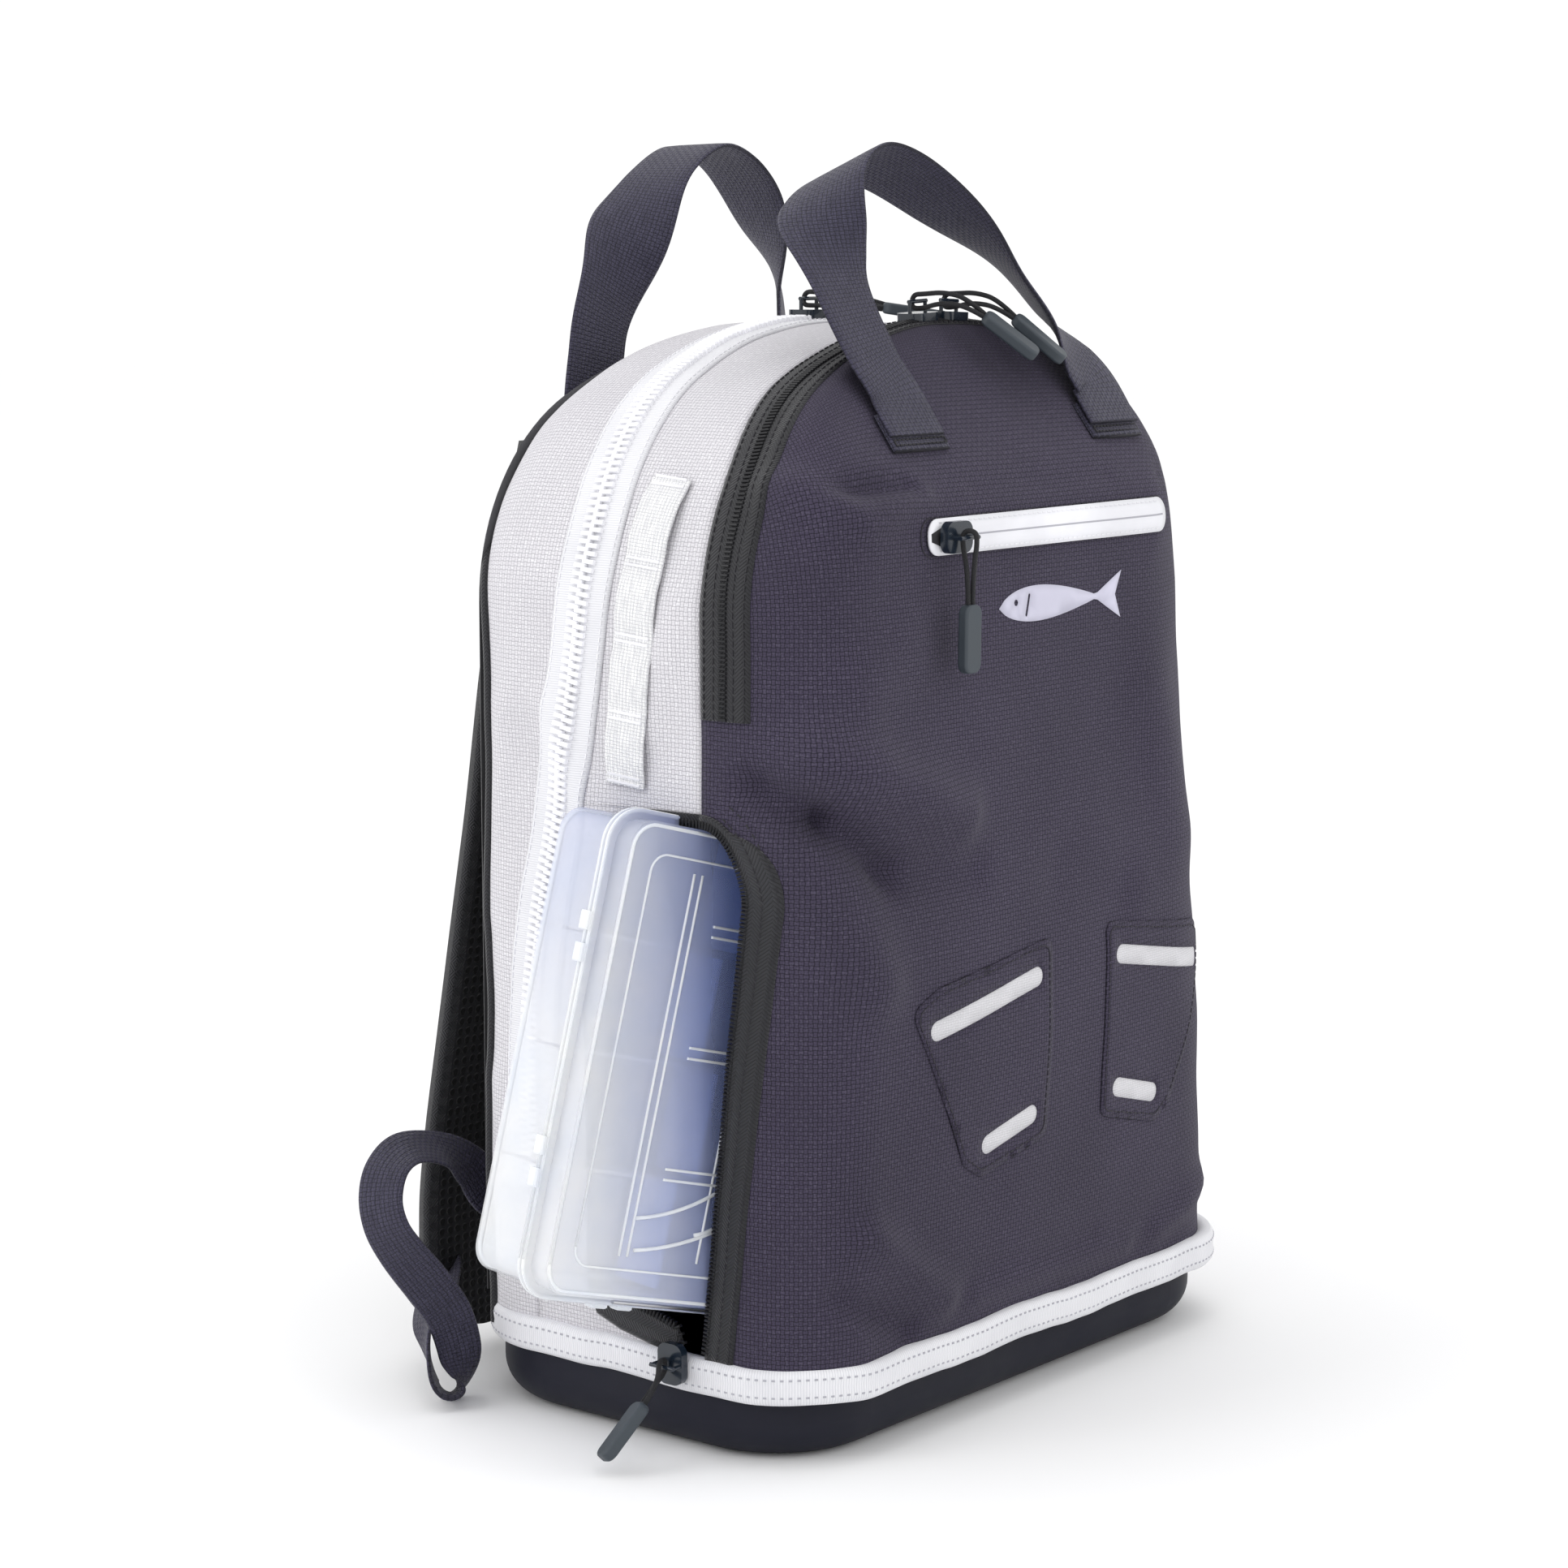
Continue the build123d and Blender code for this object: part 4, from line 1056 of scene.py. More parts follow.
def make_mouth_edge():
    """Zipper tapes and coil round the open side mouth."""
    line = mouth_line()
    rows = []
    uvs = []
    coil = []
    run = 0.0
    for i, here in enumerate(line):
        ahead = line[min(i + 1, len(line) - 1)]
        behind = line[max(i - 1, 0)]
        heading = (ahead - behind).normalized()
        inward = Vector((heading.y, -heading.x))
        if i:
            run += (here - line[i - 1]).length
        row = []
        flat = []
        outer = lerp(-10.0, -0.5, smooth(-66, -56, here.x) * smooth(200, 250, here.y))
        for share in steps(0, 1, 10):
            offset = lerp(outer, 3.0, share)
            p = here + inward * offset
            lift = 0.25 + 1.1 * smooth(0, 0.12, share)
            row.append(skin(arch_at(p.y), p.x, lift)[0])
            flat.append((run, offset))
        rows.append(row)
        uvs.append(flat)
        coil.append((run, here + inward * 3.2))
    half = max(range(len(line)), key=lambda i: line[i].y)
    for part, low, high in (("front", 0, half + 1), ("rear", half, len(line))):
        obj = grid("mouth_tape_" + part, rows[low:high], uvs[low:high], [BLACK_TAPE], flip=True)
        thicken(obj, 1.1)
        finish_piece(obj, "bag", "black_tape", "side_zip_tape_" + part)

    def coil_place(s):
        for (a, p), (b, q) in zip(coil, coil[1:]):
            if s <= b:
                break
        here = p.lerp(q, (s - a) / (b - a))
        return skin(arch_at(here.y), here.x, 0.6)
    frames = run_frames(coil_place, run - 4, 1.6, 2)
    obj = blocks("mouth_coil", frames, (1.0, 3.0, 1.4), [BLACK_COIL])
    finish_piece(obj, "bag", "navy_plastic", "side_zip_coils")
    front_run = sum((b - a).length for a, b in zip(line[:half], line[1:half]))
    rows = run_frames(lambda s: edge_place(line, s, -8.4), front_run - 8, 3.3, 1)
    rows += run_frames(lambda s: edge_place(line, s, -3.0), front_run - 8, 3.3, 1)
    sewn("mouth_stitches", rows, (2.1, 0.55, 0.3), DARK_THREAD, "black_tape")


def edge_place(line, s, offset):
    """Point and normal at s along the mouth's edge, offset inward."""
    run = 0.0
    for a, b in zip(line, line[1:]):
        step = (b - a).length
        if run + step >= s:
            break
        run += step
    heading = (b - a).normalized()
    here = a.lerp(b, (s - run) / step) + Vector((heading.y, -heading.x)) * offset
    return skin(arch_at(here.y), here.x, 1.35)


def pad_height(x, z):
    """Puffed pads of the back panel, with channels between them."""
    pads = smooth(9, 26, abs(x)) * smooth(116, 92, abs(x)) * smooth(72, 96, z) * smooth(398, 372, z)
    for channel in (168, 268):
        pads *= smooth(3, 17, abs(z - channel))
    return 7.5 * pads


def make_back_panel():
    """Padded back with mesh cloth, from the piping inward."""
    rows = []
    uvs = []
    for d in steps(0, ARCH, 240):
        x, z, out_x, out_z = arch(d)
        rim_x, rim_z = x - out_x * REAR_R, z - out_z * REAR_R
        spine_z = FOOT_Z + (rim_z - FOOT_Z) * 0.6
        row = []
        flat = []
        a_from = math.asin((rear_seam(z) - BACK_Y + REAR_R) / REAR_R)
        for a in steps(a_from, math.pi / 2, 8):
            y = BACK_Y - REAR_R + REAR_R * math.sin(a)
            row.append(skin(d, y - 1e-4)[0])
            reach = REAR_R * (math.pi / 2 - a)
            flat.append((rim_x + out_x * reach, rim_z + out_z * reach))
        for k in steps(0, 1, 36)[1:]:
            px, pz = rim_x * (1 - k), lerp(rim_z, spine_z, k)
            base = Vector((px, BACK_Y, pz))
            row.append(settle(base, Y_AXIS.copy(), pad_height(px, pz))[0])
            flat.append((px, pz))
        rows.append(row)
        uvs.append(flat)
    obj = fused(grid("back_pad", rows, uvs, [STRAP_MESH], flip=True))
    thicken(obj, 3.0)
    finish_piece(obj, "bag", "pad_mesh", "back_panel")
    path = [skin(d, rear_seam(arch(d)[1]), 0.6) for d in steps(0, ARCH, 240)]
    piping = tube("back_seam_piping", [p for p, _ in path], 1.9, [BLACK_TAPE])
    finish_piece(piping, "bag", "black_tape", "back_piping")


def tube(name, centres, radius, materials, sides=8):
    """Round bead along centres."""
    rows = []
    uvs = []
    run = 0.0
    up = X_AXIS
    for i, centre in enumerate(centres):
        ahead = centres[min(i + 1, len(centres) - 1)]
        tangent = (ahead - centres[max(i - 1, 0)]).normalized()
        up = (up - tangent * up.dot(tangent)).normalized()
        side = tangent.cross(up)
        if i:
            run += (centre - centres[i - 1]).length
        ring = []
        for k in range(sides + 1):
            a = 2 * math.pi * k / sides
            ring.append(centre + up * radius * math.cos(a) + side * radius * math.sin(a))
        rows.append(ring)
        uvs.append([(run, radius * 2 * math.pi * k / sides) for k in range(sides + 1)])
    obj = fused(grid(name, rows, uvs, materials), 0.005)
    close_ends(obj)
    return obj


# ------------------------------------------------------------------ binding, webbing loops and patches

def tub_edge(s):
    """Point and outward normal at s along the binding's outline, and the outline's length."""
    half_x, half_y, radius, middle_y = 153.0, 94.0, 46.0, -3.0
    runs = [half_x - radius, radius * math.pi / 2, 2 * (half_y - radius), radius * math.pi / 2,
            2 * (half_x - radius), radius * math.pi / 2, 2 * (half_y - radius), radius * math.pi / 2,
            half_x - radius]
    total = sum(runs)
    s = s % total
    heading = 0.0
    point = Vector((0.0, half_y + middle_y))
    for i, run in enumerate(runs):
        step = min(s, run)
        direction = Vector((math.cos(heading), math.sin(heading)))
        if i % 2 == 0:
            point = point + direction * step
        else:
            centre = point + Vector((direction.y, -direction.x)) * radius
            heading -= step / radius
            point = centre + Vector((-math.sin(heading), math.cos(heading))) * radius
        s -= step
        if s <= 0:
            break
    return point, Vector((-math.sin(heading), math.cos(heading))), total


def binding_point(s, out, z):
    """Point on the binding, with the slight waviness of sewn tape."""
    p, normal, _ = tub_edge(s)
    wave = noise.noise(Vector((p.x, p.y, 0)) * 0.022) * 1.3 + noise.noise(Vector((p.x, p.y, 9)) * 0.07) * 0.5
    p = p + normal * (out + 0.4 * noise.noise(Vector((p.x, p.y, 4)) * 0.05))
    return Vector((p.x, p.y, z + wave)), Vector((normal.x, normal.y, 0))


def make_binding():
    """White tape sewn round the joint of the cloth and the moulded base."""
    total = tub_edge(0)[2]
    profile = [(-7, 60.2), (-3.6, 60.9), (-0.9, 60.6), (0.3, 59.0), (0.7, 56.8), (0.35, 54.0), (0.7, 51.0),
               (0.3, 48.6), (-0.9, 47.2), (-3.0, 46.6)]
    rows = []
    uvs = []
    for s in steps(0, total, 420):
        rows.append([binding_point(s, out, z)[0] for out, z in profile])
        uvs.append([(s, z) for _, z in profile])
    obj = grid("binding_tape", rows, uvs, [WHITE_BINDING], flip=True)
    fused(obj, 0.01)
    thicken(obj, 1.0)
    finish_piece(obj, "bag", "white_webbing", "base_binding")
    holes = []
    for z in (57.4, 50.6):
        holes += run_frames(lambda s: binding_point(s, 0.62, z), total, 3.2)
    sewn("binding_stitches", holes, (1.3, 0.7, 0.22), HOLE, "white_webbing")


def make_daisy_chains():
    """White webbing sewn down at five bars on each side."""
    bars = (0.0, 0.27, 0.52, 0.77, 1.0)
    count = 90
    for side in ("left", "right"):
        places = []
        for share in steps(0, 1, count):
            z = lerp(391.0, 277.0, share)
            near = min(abs(share - b) for b in bars)
            lift = 1.3 + 0.9 * smooth(0.02, 0.09, near)
            places.append(skin(arch_at(z, side == "right"), lerp(-17.0, -7.0, share), lift))
        obj = laid_ribbon("daisy_webbing_" + side, places, 19.5, 1.5, WHITE_WEBBING)
        finish_piece(obj, "bag", "white_webbing", "daisy_chain_" + side)
        tacks = []
        for b in bars:
            i = int(min(max(b, 0.02), 0.98) * count)
            for j in (i - 1, i + 1):
                centre, normal = places[j]
                run = (places[j + 1][0] - places[j - 1][0]).normalized()
                tacks.append((centre + normal * 0.7, normal.cross(run).normalized(), run, normal))
        sewn("daisy_tacks_" + side, tacks, (16.0, 1.0, 0.5), WHITE_THREAD, "white_webbing")


LASH_OUTLINE = [(-97, 193), (-82, 200), (-9, 210), (-9, 130), (-50, 120), (-62, 127)]
LASH_SLOTS = [(-86, 183, -16, 196), (-51, 132, -17, 141)]
LASH_MIDDLE = 10.0


def mirrored(points):
    return [(2 * LASH_MIDDLE - x, z) for x, z in reversed(points)]


def ring_stitches(ring, inset, lift, pitch, place):
    """Frames of stitches just inside a closed ring."""
    middle = sum((Vector(p) for p in ring), Vector((0, 0))) / len(ring)
    moved = [Vector(p) + (middle - Vector(p)).normalized() * inset for p in ring]
    frames = []
    for a, b in zip(moved, moved[1:] + moved[:1]):
        length = (b - a).length
        if length > 0.5:
            def at(s, a=a, b=b, length=length):
                p = a.lerp(b, s / length)
                return place(p.x, p.y, lift)
            frames += run_frames(at, length, pitch)
    return frames


def make_lash_points():
    """Slotted patches with pale cloth behind their slots."""
    for side in ("left", "right"):
        outline = LASH_OUTLINE
        slots = [capsule(*slot, 8.0) for slot in LASH_SLOTS]
        if side == "right":
            outline = mirrored(outline)
            slots = [mirrored(slot) for slot in slots]
        ring = rounded_ring(outline, 5.0)
        obj = patch("lash_patch_" + side, ring, slots, lambda x, z: front(x, z, 0.2), 5.0, [DARK], 0.35)
        finish_piece(obj, "bag", "dark_cloth")
        if side == "left":
            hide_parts("lash_patches")
        for name, slot in zip(("upper", "lower"), slots):
            centre = sum((Vector(p) for p in slot), Vector((0, 0))) / len(slot)
            arms = [Vector(p) - centre for p in slot]
            wider = [tuple(centre + arm * 1.04 + arm.normalized() * 0.8) for arm in arms]
            obj = patch("slot_cloth_%s_%s" % (side, name), wider, [], lambda x, z: front(x, z, 0.1), 5.0,
                        [BACKING], 0.35)
            finish_piece(obj, "bag", "pale_cloth")
            if side == "left" and name == "upper":
                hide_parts("lash_backings")
        stitches = ring_stitches(ring, 3.0, 0.6, 3.0, front)
        sewn("lash_stitches_" + side, stitches, (2.0, 0.5, 0.25), CLOTH_THREAD, "dark_cloth")


def make_front_pocket():
    """Coated white zipper of the front pocket, its stitched window and the garage for the slider."""
    x_low, x_high, z_mid, height = POCKET_ZIP
    z_low, z_high = z_mid - height / 2, z_mid + height / 2
    ring = rounded_ring([(x_low, z_low), (x_high, z_low), (x_high, z_high), (x_low, z_high)], 6.0)
    obj = patch("pocket_zipper_tape", ring, [], lambda x, z: front(x, z, 0.9), 4.0, [WHITE_COATED], 0.8)
    finish_piece(obj, "bag", "white_zipper", "pocket_zip_tape")
    line = [front(x, z_mid, 1.6) for x in steps(x_low + 12, x_high - 3, 60)]
    finish_piece(laid_ribbon("pocket_zipper_seam", line, 0.7, 0.3, HOLE), "bag", "white_zipper")
    garage = [(x_low + 1.5, z_mid + 1.5), (x_low + 1.5, z_mid - 1.5), (x_low + 11, z_mid - 4.5),
              (x_low + 11, z_mid + 4.5)]
    obj = patch("pocket_garage", garage, [], lambda x, z: front(x, z, 1.7), 4.0, [DARK_THREAD], 0.25)
    finish_piece(obj, "bag", "dark_cloth")
    frames = ring_stitches(ring, -3.0, 0.15, 3.0, front)
    sewn("pocket_window_stitches", frames, (2.0, 0.5, 0.25), CLOTH_THREAD, "dark_cloth")
    frames = []
    for z in (z_mid - 5.4, z_mid + 5.4):
        frames += run_frames(lambda s: front(x_low + 6 + s, z, 1.7), x_high - x_low - 12, 3.2)
    sewn("pocket_zipper_stitches", frames, (2.0, 0.5, 0.15), WHITE_THREAD, "white_zipper")


def make_fish_mark():
    """Plain printed fish in place of any wording."""
    top = []
    bottom = []
    for t in steps(0, 1, 26)[1:-1]:
        half = 8.0 * math.sin(math.pi * t ** 0.75) ** 0.8 * (1 - 0.25 * t) + 0.3
        top.append((-34 + 66 * t, 340 + half))
        bottom.append((-34 + 66 * t, 340 - half * 0.85))
    tail = [(32, 341.6), (48, 349.5), (44, 340), (48, 330.5), (32, 338.6)]
    ring = [(-35, 340)] + bottom + tail[::-1] + top[::-1]
    eye = [(-24 + 1.3 * math.cos(a), 341.6 + 1.3 * math.sin(a)) for a in steps(0, 2 * math.pi, 8)[:-1]]
    gill = capsule(-17.6, 335.8, -15.0, 344.6, 1.3, 4)
    obj = patch("fish_print", ring, [eye, gill], lambda x, z: front(x, z, 0.12), 5.0, [PRINT], 0.14)
    finish_piece(obj, "bag", "dark_cloth")


# ------------------------------------------------------------------ handles

# Each handle's line as (x, height above its hinge), left foot first.
FRONT_LOOP = [(-66, 4), (-71, 20), (-74, 40), (-74, 60), (-69, 79), (-54, 94), (-33, 101), (-12, 96),
              (11, 81), (29, 65), (43, 47), (53, 29), (61, 13), (66, 4)]
REAR_LOOP = [(-60, 8), (-57, 25), (-53, 42), (-43, 62), (-30, 83), (-14, 101), (8, 112), (28, 107), (44, 93),
             (55, 72), (62, 50), (63, 26), (60, 8)]
HANDLE_WEB = 34.0
HANDLE_THICK = 2.0
# How many times the twist is evened out along a handle.
TWIST_ROUNDS = 14


def handle_webbing(name, loop, hinge, lean, feet, foot_normal, start, end):
    """Webbing loop: flat where it is sewn, turning a quarter so that its width is across the top."""
    up = Vector((0, math.sin(math.radians(lean)), math.cos(math.radians(lean))))
    out = Vector((0, -up.z, up.y))
    hinge = Vector(hinge)
    points = [Vector((x, hinge.y, hinge.z)) + up * h for x, h in loop]
    lead_in = [Vector((loop[0][0], y, z)) for y, z in feet]
    lead_out = [Vector((loop[-1][0], y, z)) for y, z in reversed(feet)]
    centres = smooth_line(lead_in + points + lead_out, 9)
    centre = sum(points, Vector()) / len(points)
    normals = []
    for i, p in enumerate(centres):
        ahead = centres[min(i + 1, len(centres) - 1)]
        tangent = (ahead - centres[max(i - 1, 0)]).normalized()
        height = (p - hinge).dot(up)
        outward = tangent.cross(out)
        if outward.dot(p - centre) < 0:
            outward = -outward
        left_turn = smooth(44, 108, height)
        right_turn = 0.42 * smooth(6, 34, height) + 0.58 * smooth(50, 96, height)
        turn = lerp(left_turn, right_turn, smooth(-30, 30, p.x))
        normals.append(Vector(foot_normal).lerp(outward, turn).normalized())
    for _ in range(TWIST_ROUNDS):
        padded = normals[:1] + normals + normals[-1:]
        normals = [(a + b * 2 + c).normalized() for a, b, c in zip(padded, padded[1:], padded[2:])]
    obj = ribbon(name, centres, normals, HANDLE_WEB, HANDLE_THICK, [DARK_WEBBING])
    handle = name.replace("_webbing", "")
    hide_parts(handle)
    scene_point(start)
    scene_point(end)
    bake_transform(obj)


def sewn_end(name, place, x_mid, z_low, z_high, nodes):
    """Doubled end of a handle's webbing, box-stitched flat on the cloth."""
    obj = laid_ribbon(name, [place(x_mid, z, 1.2) for z in steps(z_low, z_high, 10)], HANDLE_WEB + 1.0, 2.4,
                      DARK_WEBBING)
    finish_piece(obj, "bag", "dark_webbing", *nodes)
    frames = []
    for z in (z_low + 1.6, z_low + 3.4, z_high - 3.4, z_high - 1.6):
        frames += run_frames(lambda s: place(x_mid - HANDLE_WEB / 2 + 1 + s, z, 2.45), HANDLE_WEB - 2, 2.4)
    for x in (x_mid - HANDLE_WEB / 2 + 1.5, x_mid + HANDLE_WEB / 2 - 1.5):
        frames += run_frames(lambda s: place(x, z_low + 1 + s, 2.45), z_high - z_low - 2, 2.4)
    sewn(name + "_stitches", frames, (1.9, 0.6, 0.35), DARK_THREAD, "dark_webbing")


def back_face(x, z, lift):
    """Point and normal on the flat of the back, clear of its pads."""
    return Vector((x, BACK_Y + lift, z)), Y_AXIS.copy()


def make_handles():
    """Front handle, which leans back over the crown, and the upright rear handle."""
    tilt = math.atan2(SLOPE_TOP[0] - SLOPE_FOOT[0], SLOPE_TOP[1] - SLOPE_FOOT[1])
    slope_out = Vector((0, -math.cos(tilt), math.sin(tilt)))
    handle_webbing("front_handle_webbing", FRONT_LOOP, (0, -69, 419.5), 26.0,
                   [(-78.4, 407.2), (-74.2, 413.0)], slope_out, (0, -72, 415), (0, -58, 446))
    handle_webbing("rear_handle_webbing", REAR_LOOP, (0, 91.5, 406), 1.5,
                   [(91.0, 396.0), (91.2, 401.0)], -Y_AXIS, (0, 91, 402), (0, 92, 436))
    for part, place, reach, low, high in (("front", front, 66, 401, 414), ("rear", back_face, 60, 392, 406)):
        sewn_end(part + "_handle_end_left", place, -reach, low, high, [part + "_handle_tabs"])
        sewn_end(part + "_handle_end_right", place, reach, low, high, [])


# ------------------------------------------------------------------ shoulder straps

STRAP_LINE = [(31, -98), (64, -98), (95, -98), (160, -92), (240, -86), (330, -80), (400, -66)]
STRAP_FACE = [(25, 118), (60, 119.5), (120, 117), (190, 110), (270, 100.5), (350, 92.5), (401, 88.6)]
STRAP_HALF = 32.0
STRAP_THICK = 10.0
TOE_Z = 64.0


STRAP_ACROSS = (-1.0, -0.93, -0.86, -0.6, -0.3, 0.0, 0.3, 0.6, 0.86, 0.93, 1.0)
STRAP_TACKS = (92, 118, 185, 205, 262, 300, 326)


def strap_place(sign, z):
    """Middle of a strap's inner face at height z, and the direction away from the wearer's back."""
    slope = -math.atan2(along(STRAP_FACE, z + 2) - along(STRAP_FACE, z - 2), 4)
    centre = Vector((sign * along(STRAP_LINE, z), along(STRAP_FACE, z), z))
    return centre, Vector((0, math.cos(slope), math.sin(slope)))


def strap_section(sign, z, half):
    """One closed section of the pad: mesh face, bound edge, cloth face, bound edge."""
    across = X_AXIS * sign
    centre, out = strap_place(sign, z)
    section = []
    for w in STRAP_ACROSS:
        crown = 0.5 * (1 - abs(w) ** 3)
        section.append(centre + across * half * w + out * (1.2 + 2.4 * (1 - crown * 2) * 0.6))
    section.append(centre + across * (half + 0.9) + out * STRAP_THICK * 0.5)
    for w in reversed(STRAP_ACROSS):
        crown = 1 - abs(w) ** 3
        section.append(centre + across * half * w + out * (STRAP_THICK - 1.6 + 1.6 * crown))
    section.append(centre - across * (half + 0.9) + out * STRAP_THICK * 0.5)
    section.append(section[0].copy())
    return section


def make_strap(side):
    """Curved padded strap: mesh toward the wearer, cloth outside, bound edges and a webbing run."""
    sign = 1 if side == "left" else -1
    rows = []
    uvs = []
    heights = [TOE_Z - STRAP_HALF * math.cos(a) for a in steps(0.12, math.pi / 2, 14)]
    heights += steps(TOE_Z, 400, 110)[1:]
    for z in heights:
        half = STRAP_HALF
        if z < TOE_Z:
            half = math.sqrt(max(1.0, STRAP_HALF ** 2 - (TOE_Z - z) ** 2))
        rows.append(strap_section(sign, z, half))
        flat = [(half * w, z) for w in STRAP_ACROSS]
        flat += [(half + 5, z)] + [(p[0] + 200, z) for p in reversed(flat)] + [(-half - 5, z), (-half - 8, z)]
        uvs.append(flat)
    obj = grid("strap_pad_%s_cover" % side, rows, uvs, [STRAP_MESH, DARK, BLACK_TAPE], flip=sign < 0)
    width = len(rows[0]) - 1
    for polygon in obj.data.polygons:
        column = polygon.index % width
        if column in (0, 1, 8, 9, 10, 11, 12, 13, 20, 21, 22, 23, 24):
            polygon.material_index = 2
        elif column > 11:
            polygon.material_index = 1
    fused(obj, 0.01)
    close_ends(obj)
    body = "shoulder_strap_" + side
    finish_piece(obj, body, "pad_mesh", "strap_pad_" + side)
    places = []
    for z in steps(TOE_Z + 6, 330, 60):
        centre, out = strap_place(sign, z)
        places.append((centre + out * (STRAP_THICK + 1.0), out))
    run = laid_ribbon("strap_run_" + side, places, 25.0, 1.6, DARK_WEBBING)
    finish_piece(run, body, "dark_webbing")
    frames = []
    for z in STRAP_TACKS:
        centre, out = strap_place(sign, z)
        frames.append((centre + out * (STRAP_THICK + 1.7), X_AXIS, out.cross(X_AXIS), out))
    sewn("strap_tacks_" + side, frames, (21.0, 1.4, 0.6), DARK_THREAD, "dark_webbing", body)


# The left lower webbing's points from the anchor wing on, and the way its face looks at each.
WEB_ROUTE = [
    (-118, 92, 93), (-124, 94, 98), (-132, 96, 109), (-147, 97, 119), (-168, 95, 124), (-184, 91, 120),
    (-192, 87, 110), (-193, 83, 99), (-186, 81, 87), (-175, 79, 73), (-164, 78, 58), (-159, 77, 42),
    (-160, 76, 31), (-165, 76, 26.4), (-171, 79, 31), (-169, 85, 43), (-161, 93, 52), (-147, 103, 54),
    (-130, 116, 55), (-112, 127, 57), (-101, 131, 62),
]
WEB_NORMALS = [
    (-0.2, -1, 0.1), (-0.3, -0.9, 0.2), (-0.4, -0.8, 0.5), (-0.4, -0.6, 0.8), (-0.5, -0.5, 0.8),
    (-0.9, -0.4, 0.6), (-1, -0.4, 0.1), (-1, -0.5, -0.1), (-0.8, -0.7, -0.2), (-0.6, -0.8, 0),
    (-0.5, -0.9, 0), (-0.3, -0.9, -0.1), (0.2, -0.9, -0.5), (0, -0.3, -1), (-0.6, 0.6, -0.5),
    (-0.7, 0.7, 0), (-0.5, 0.7, 0.6), (-0.2, 0.4, 0.9), (0.1, 0.6, 0.8), (0.1, 0.9, 0.4), (0.1, 1, 0),
]


def make_lower_webbing(side):
    """Loose lower webbing from the anchor wing round to the strap's buckle."""
    flip = 1 if side == "left" else -1
    centres = smooth_line([(x * flip, y, z) for x, y, z in WEB_ROUTE], 10)
    normals = [n.normalized() for n in smooth_line([(x * flip, y, z) for x, y, z in WEB_NORMALS], 10)]
    obj = ribbon("lower_webbing_" + side, centres, normals, 19.0, 1.8, [DARK_WEBBING])
    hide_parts("strap_webbing_" + side)
    scene_point((-130 * flip, 102, 50))
    scene_point((-130 * flip, 130, 50))
    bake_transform(obj)
    ring = rounded_ring([(84.0, 128), (84.0, 58), (99.6, 82), (99.6, 106)], 3.0)
    shift = -121.2 * flip

    def wing_place(y, z, lift=0.0):
        return Vector((shift, y, z)) - X_AXIS * flip * lift, -X_AXIS * flip
    obj = patch("anchor_wing_cloth_" + side, ring, [], wing_place, 5.0, [DARK], 1.6)
    finish_piece(obj, "bag", "dark_cloth", "anchor_wing_" + side)
    frames = ring_stitches(ring, 3.0, 1.7, 3.0, wing_place)
    sewn("anchor_wing_stitches_" + side, frames, (2.0, 0.6, 0.3), DARK_THREAD, "dark_cloth")


# ------------------------------------------------------------------ the utility box

BOX_LENGTH = 279.0
BOX_HEIGHT = 184.0
BOX_THICK = 44.0
BOX_LID = 11.0
BOX_PITCH = math.radians(14.8)
BOX_YAW = math.radians(-10.8)
BOX_PLACE = Vector((-230.5, -28.7, 98.2))
# Curved guide lines on the lid: lower end (x, z), reach and rise.
BOX_GUIDES = ((30, 34, 104, 1.2), (30, 22, 124, 1.05), (64, 30, 60, 2.0))
BOX_POSTS = (36, 40, 74)


def in_box(x, y, z):
    """From the box's own frame (x from its outer end, y from the lid's face, z up) to the bag's."""
    turned_x = x * math.cos(BOX_PITCH) + z * math.sin(BOX_PITCH)
    turned_z = -x * math.sin(BOX_PITCH) + z * math.cos(BOX_PITCH)
    return BOX_PLACE + Vector((turned_x * math.cos(BOX_YAW) - y * math.sin(BOX_YAW),
                               turned_x * math.sin(BOX_YAW) + y * math.cos(BOX_YAW), turned_z))


def box_axes():
    origin = in_box(0, 0, 0)
    return in_box(1, 0, 0) - origin, in_box(0, 1, 0) - origin, in_box(0, 0, 1) - origin


def box_loop(inset, y, radius):
    """Closed loop of points round the box's face."""
    x_low, x_high = inset, BOX_LENGTH - inset
    z_low, z_high = inset, BOX_HEIGHT - inset
    ring = rounded_ring([(x_low, z_low), (x_high, z_low), (x_high, z_high), (x_low, z_high)], radius, 8)
    return [in_box(x, y, z) for x, z in ring + ring[:1]]


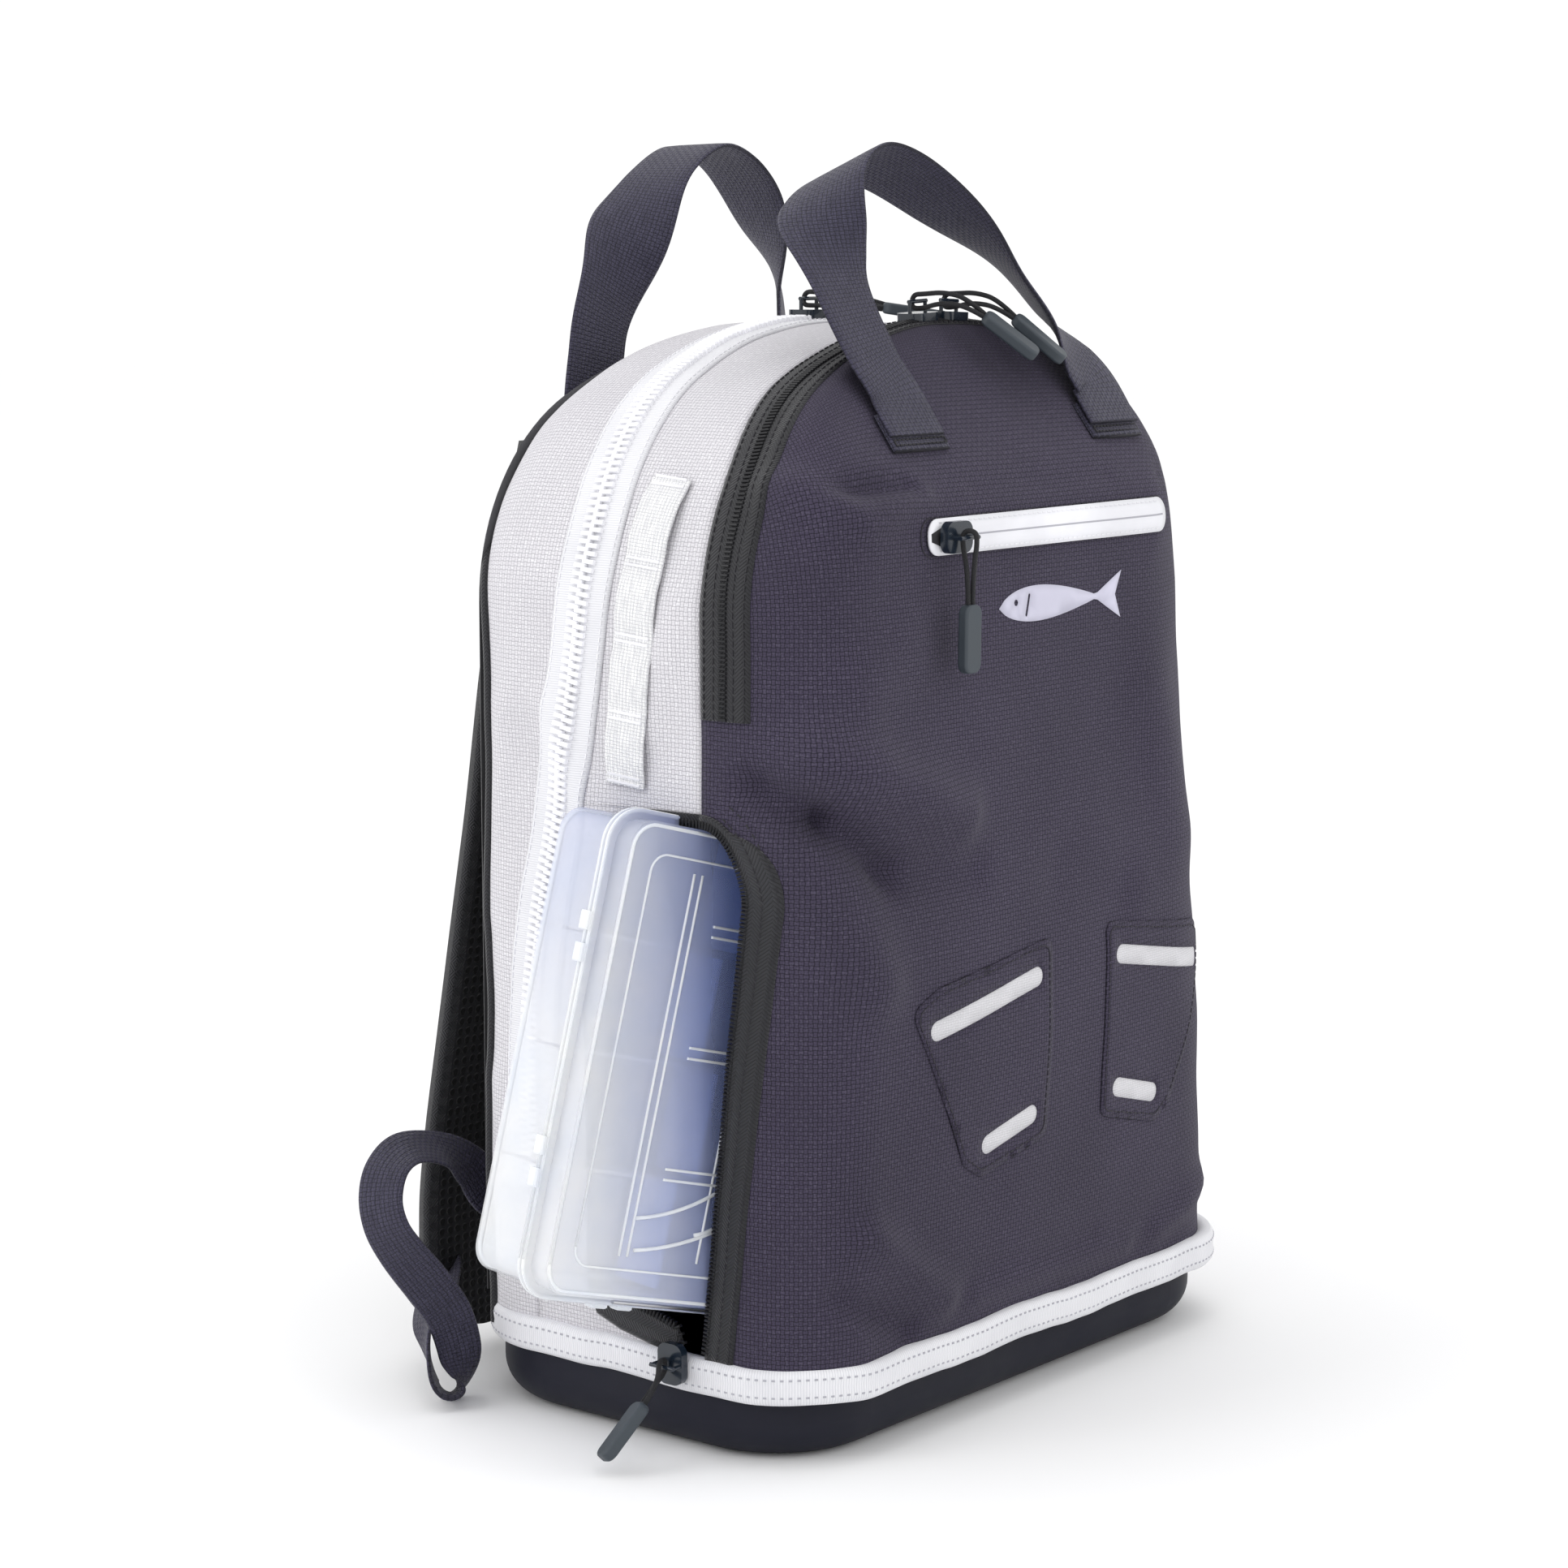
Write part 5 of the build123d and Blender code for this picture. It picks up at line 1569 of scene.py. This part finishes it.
def make_box_details():
    """Moulded edges, ribs, guide lines and tabs of the clear box."""
    along_x, along_y, along_z = box_axes()
    lines = {
        "box_rim_lid": (box_loop(0.6, BOX_LID - 1.0, 13.4), 0.9),
        "box_rim_tray": (box_loop(0.6, BOX_LID + 1.4, 13.4), 0.9),
        "box_lid_edge": (box_loop(5.0, 0.3, 9.5), 0.8),
        "box_lid_panel": (box_loop(15.0, -0.1, 7.0), 0.5),
        "box_tray_edge": (box_loop(5.0, BOX_THICK - 0.4, 9.5), 0.8),
    }
    for number, (x, z, reach, rise) in enumerate(BOX_GUIDES, 1):
        arc = [in_box(x + reach * math.sin(a), -0.3, z + reach * rise * (1 - math.cos(a)))
               for a in steps(0.1, 1.4, 30)]
        lines["box_guide_%d" % number] = (arc, 0.8)
    for number, x in enumerate(BOX_POSTS, 1):
        lines["box_post_%d" % number] = ([in_box(x, 0.0, z) for z in steps(20, 164, 12)], 0.55)
    for name, (centres, radius) in lines.items():
        obj = tube(name, centres, radius, [EDGE], 6)
        finish_piece(obj, "utility_box", "clear_plastic")
    ribs = [(in_box(110, 0.1, z), along_x, along_z, -along_y) for z in (50, 54, 96, 100, 142, 146)]
    obj = blocks("box_lid_ribs", ribs, (120.0, 1.0, 0.8), [EDGE], 0.4)
    finish_piece(obj, "utility_box", "clear_plastic")
    y = BOX_LID + 1.2
    tabs = [(in_box(0.2, y, z), along_z, along_y, -along_x) for z in (44, 56, 128, 140)]
    tabs += [(in_box(x, y, 0.2), along_x, along_y, -along_z) for x in (40, 52, 120, 132, 200, 212)]
    obj = blocks("box_rim_tabs", tabs, (7.0, 5.0, 2.0), [EDGE], 0.3)
    finish_piece(obj, "utility_box", "clear_plastic")


# ------------------------------------------------------------------ CAD nodes that stay

KEPT = {
    "base_tub": BASE_RUBBER,
    "compartment_divider": DARK_INSIDE,
    "back_frame_sheet": STIFF,
    "pocket_bag": DARK_INSIDE,
    "strap_buckle_left": NAVY,
    "strap_buckle_right": NAVY,
    "strap_loop_left": DARK_WEBBING,
    "strap_loop_right": DARK_WEBBING,
    "box_tray": CLEAR,
    "box_lid": CLEAR,
    "box_dividers": DIVIDER,
    "box_latches": NAVY,
    "box_hinge_pin": STEEL,
}


def dress_nodes():
    """Materials for the CAD nodes that show."""
    for name, material in KEPT.items():
        paint(name, material)
    for name in PULLS:
        paint(name + "_slider", NAVY)
        paint(name + "_pull_grip", GRIP)


def paint(name, material):
    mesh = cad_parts[name].data
    mesh.materials.clear()
    mesh.materials.append(material)


make_camera()
make_studio()
make_cords()
make_front_panel()
make_gussets()
make_upper_zipper()
make_main_zipper()
make_mouth_edge()
make_back_panel()
make_binding()
make_daisy_chains()
make_lash_points()
make_front_pocket()
make_fish_mark()
make_handles()
for strap_side in ("left", "right"):
    make_strap(strap_side)
    make_lower_webbing(strap_side)
make_box_details()
dress_nodes()
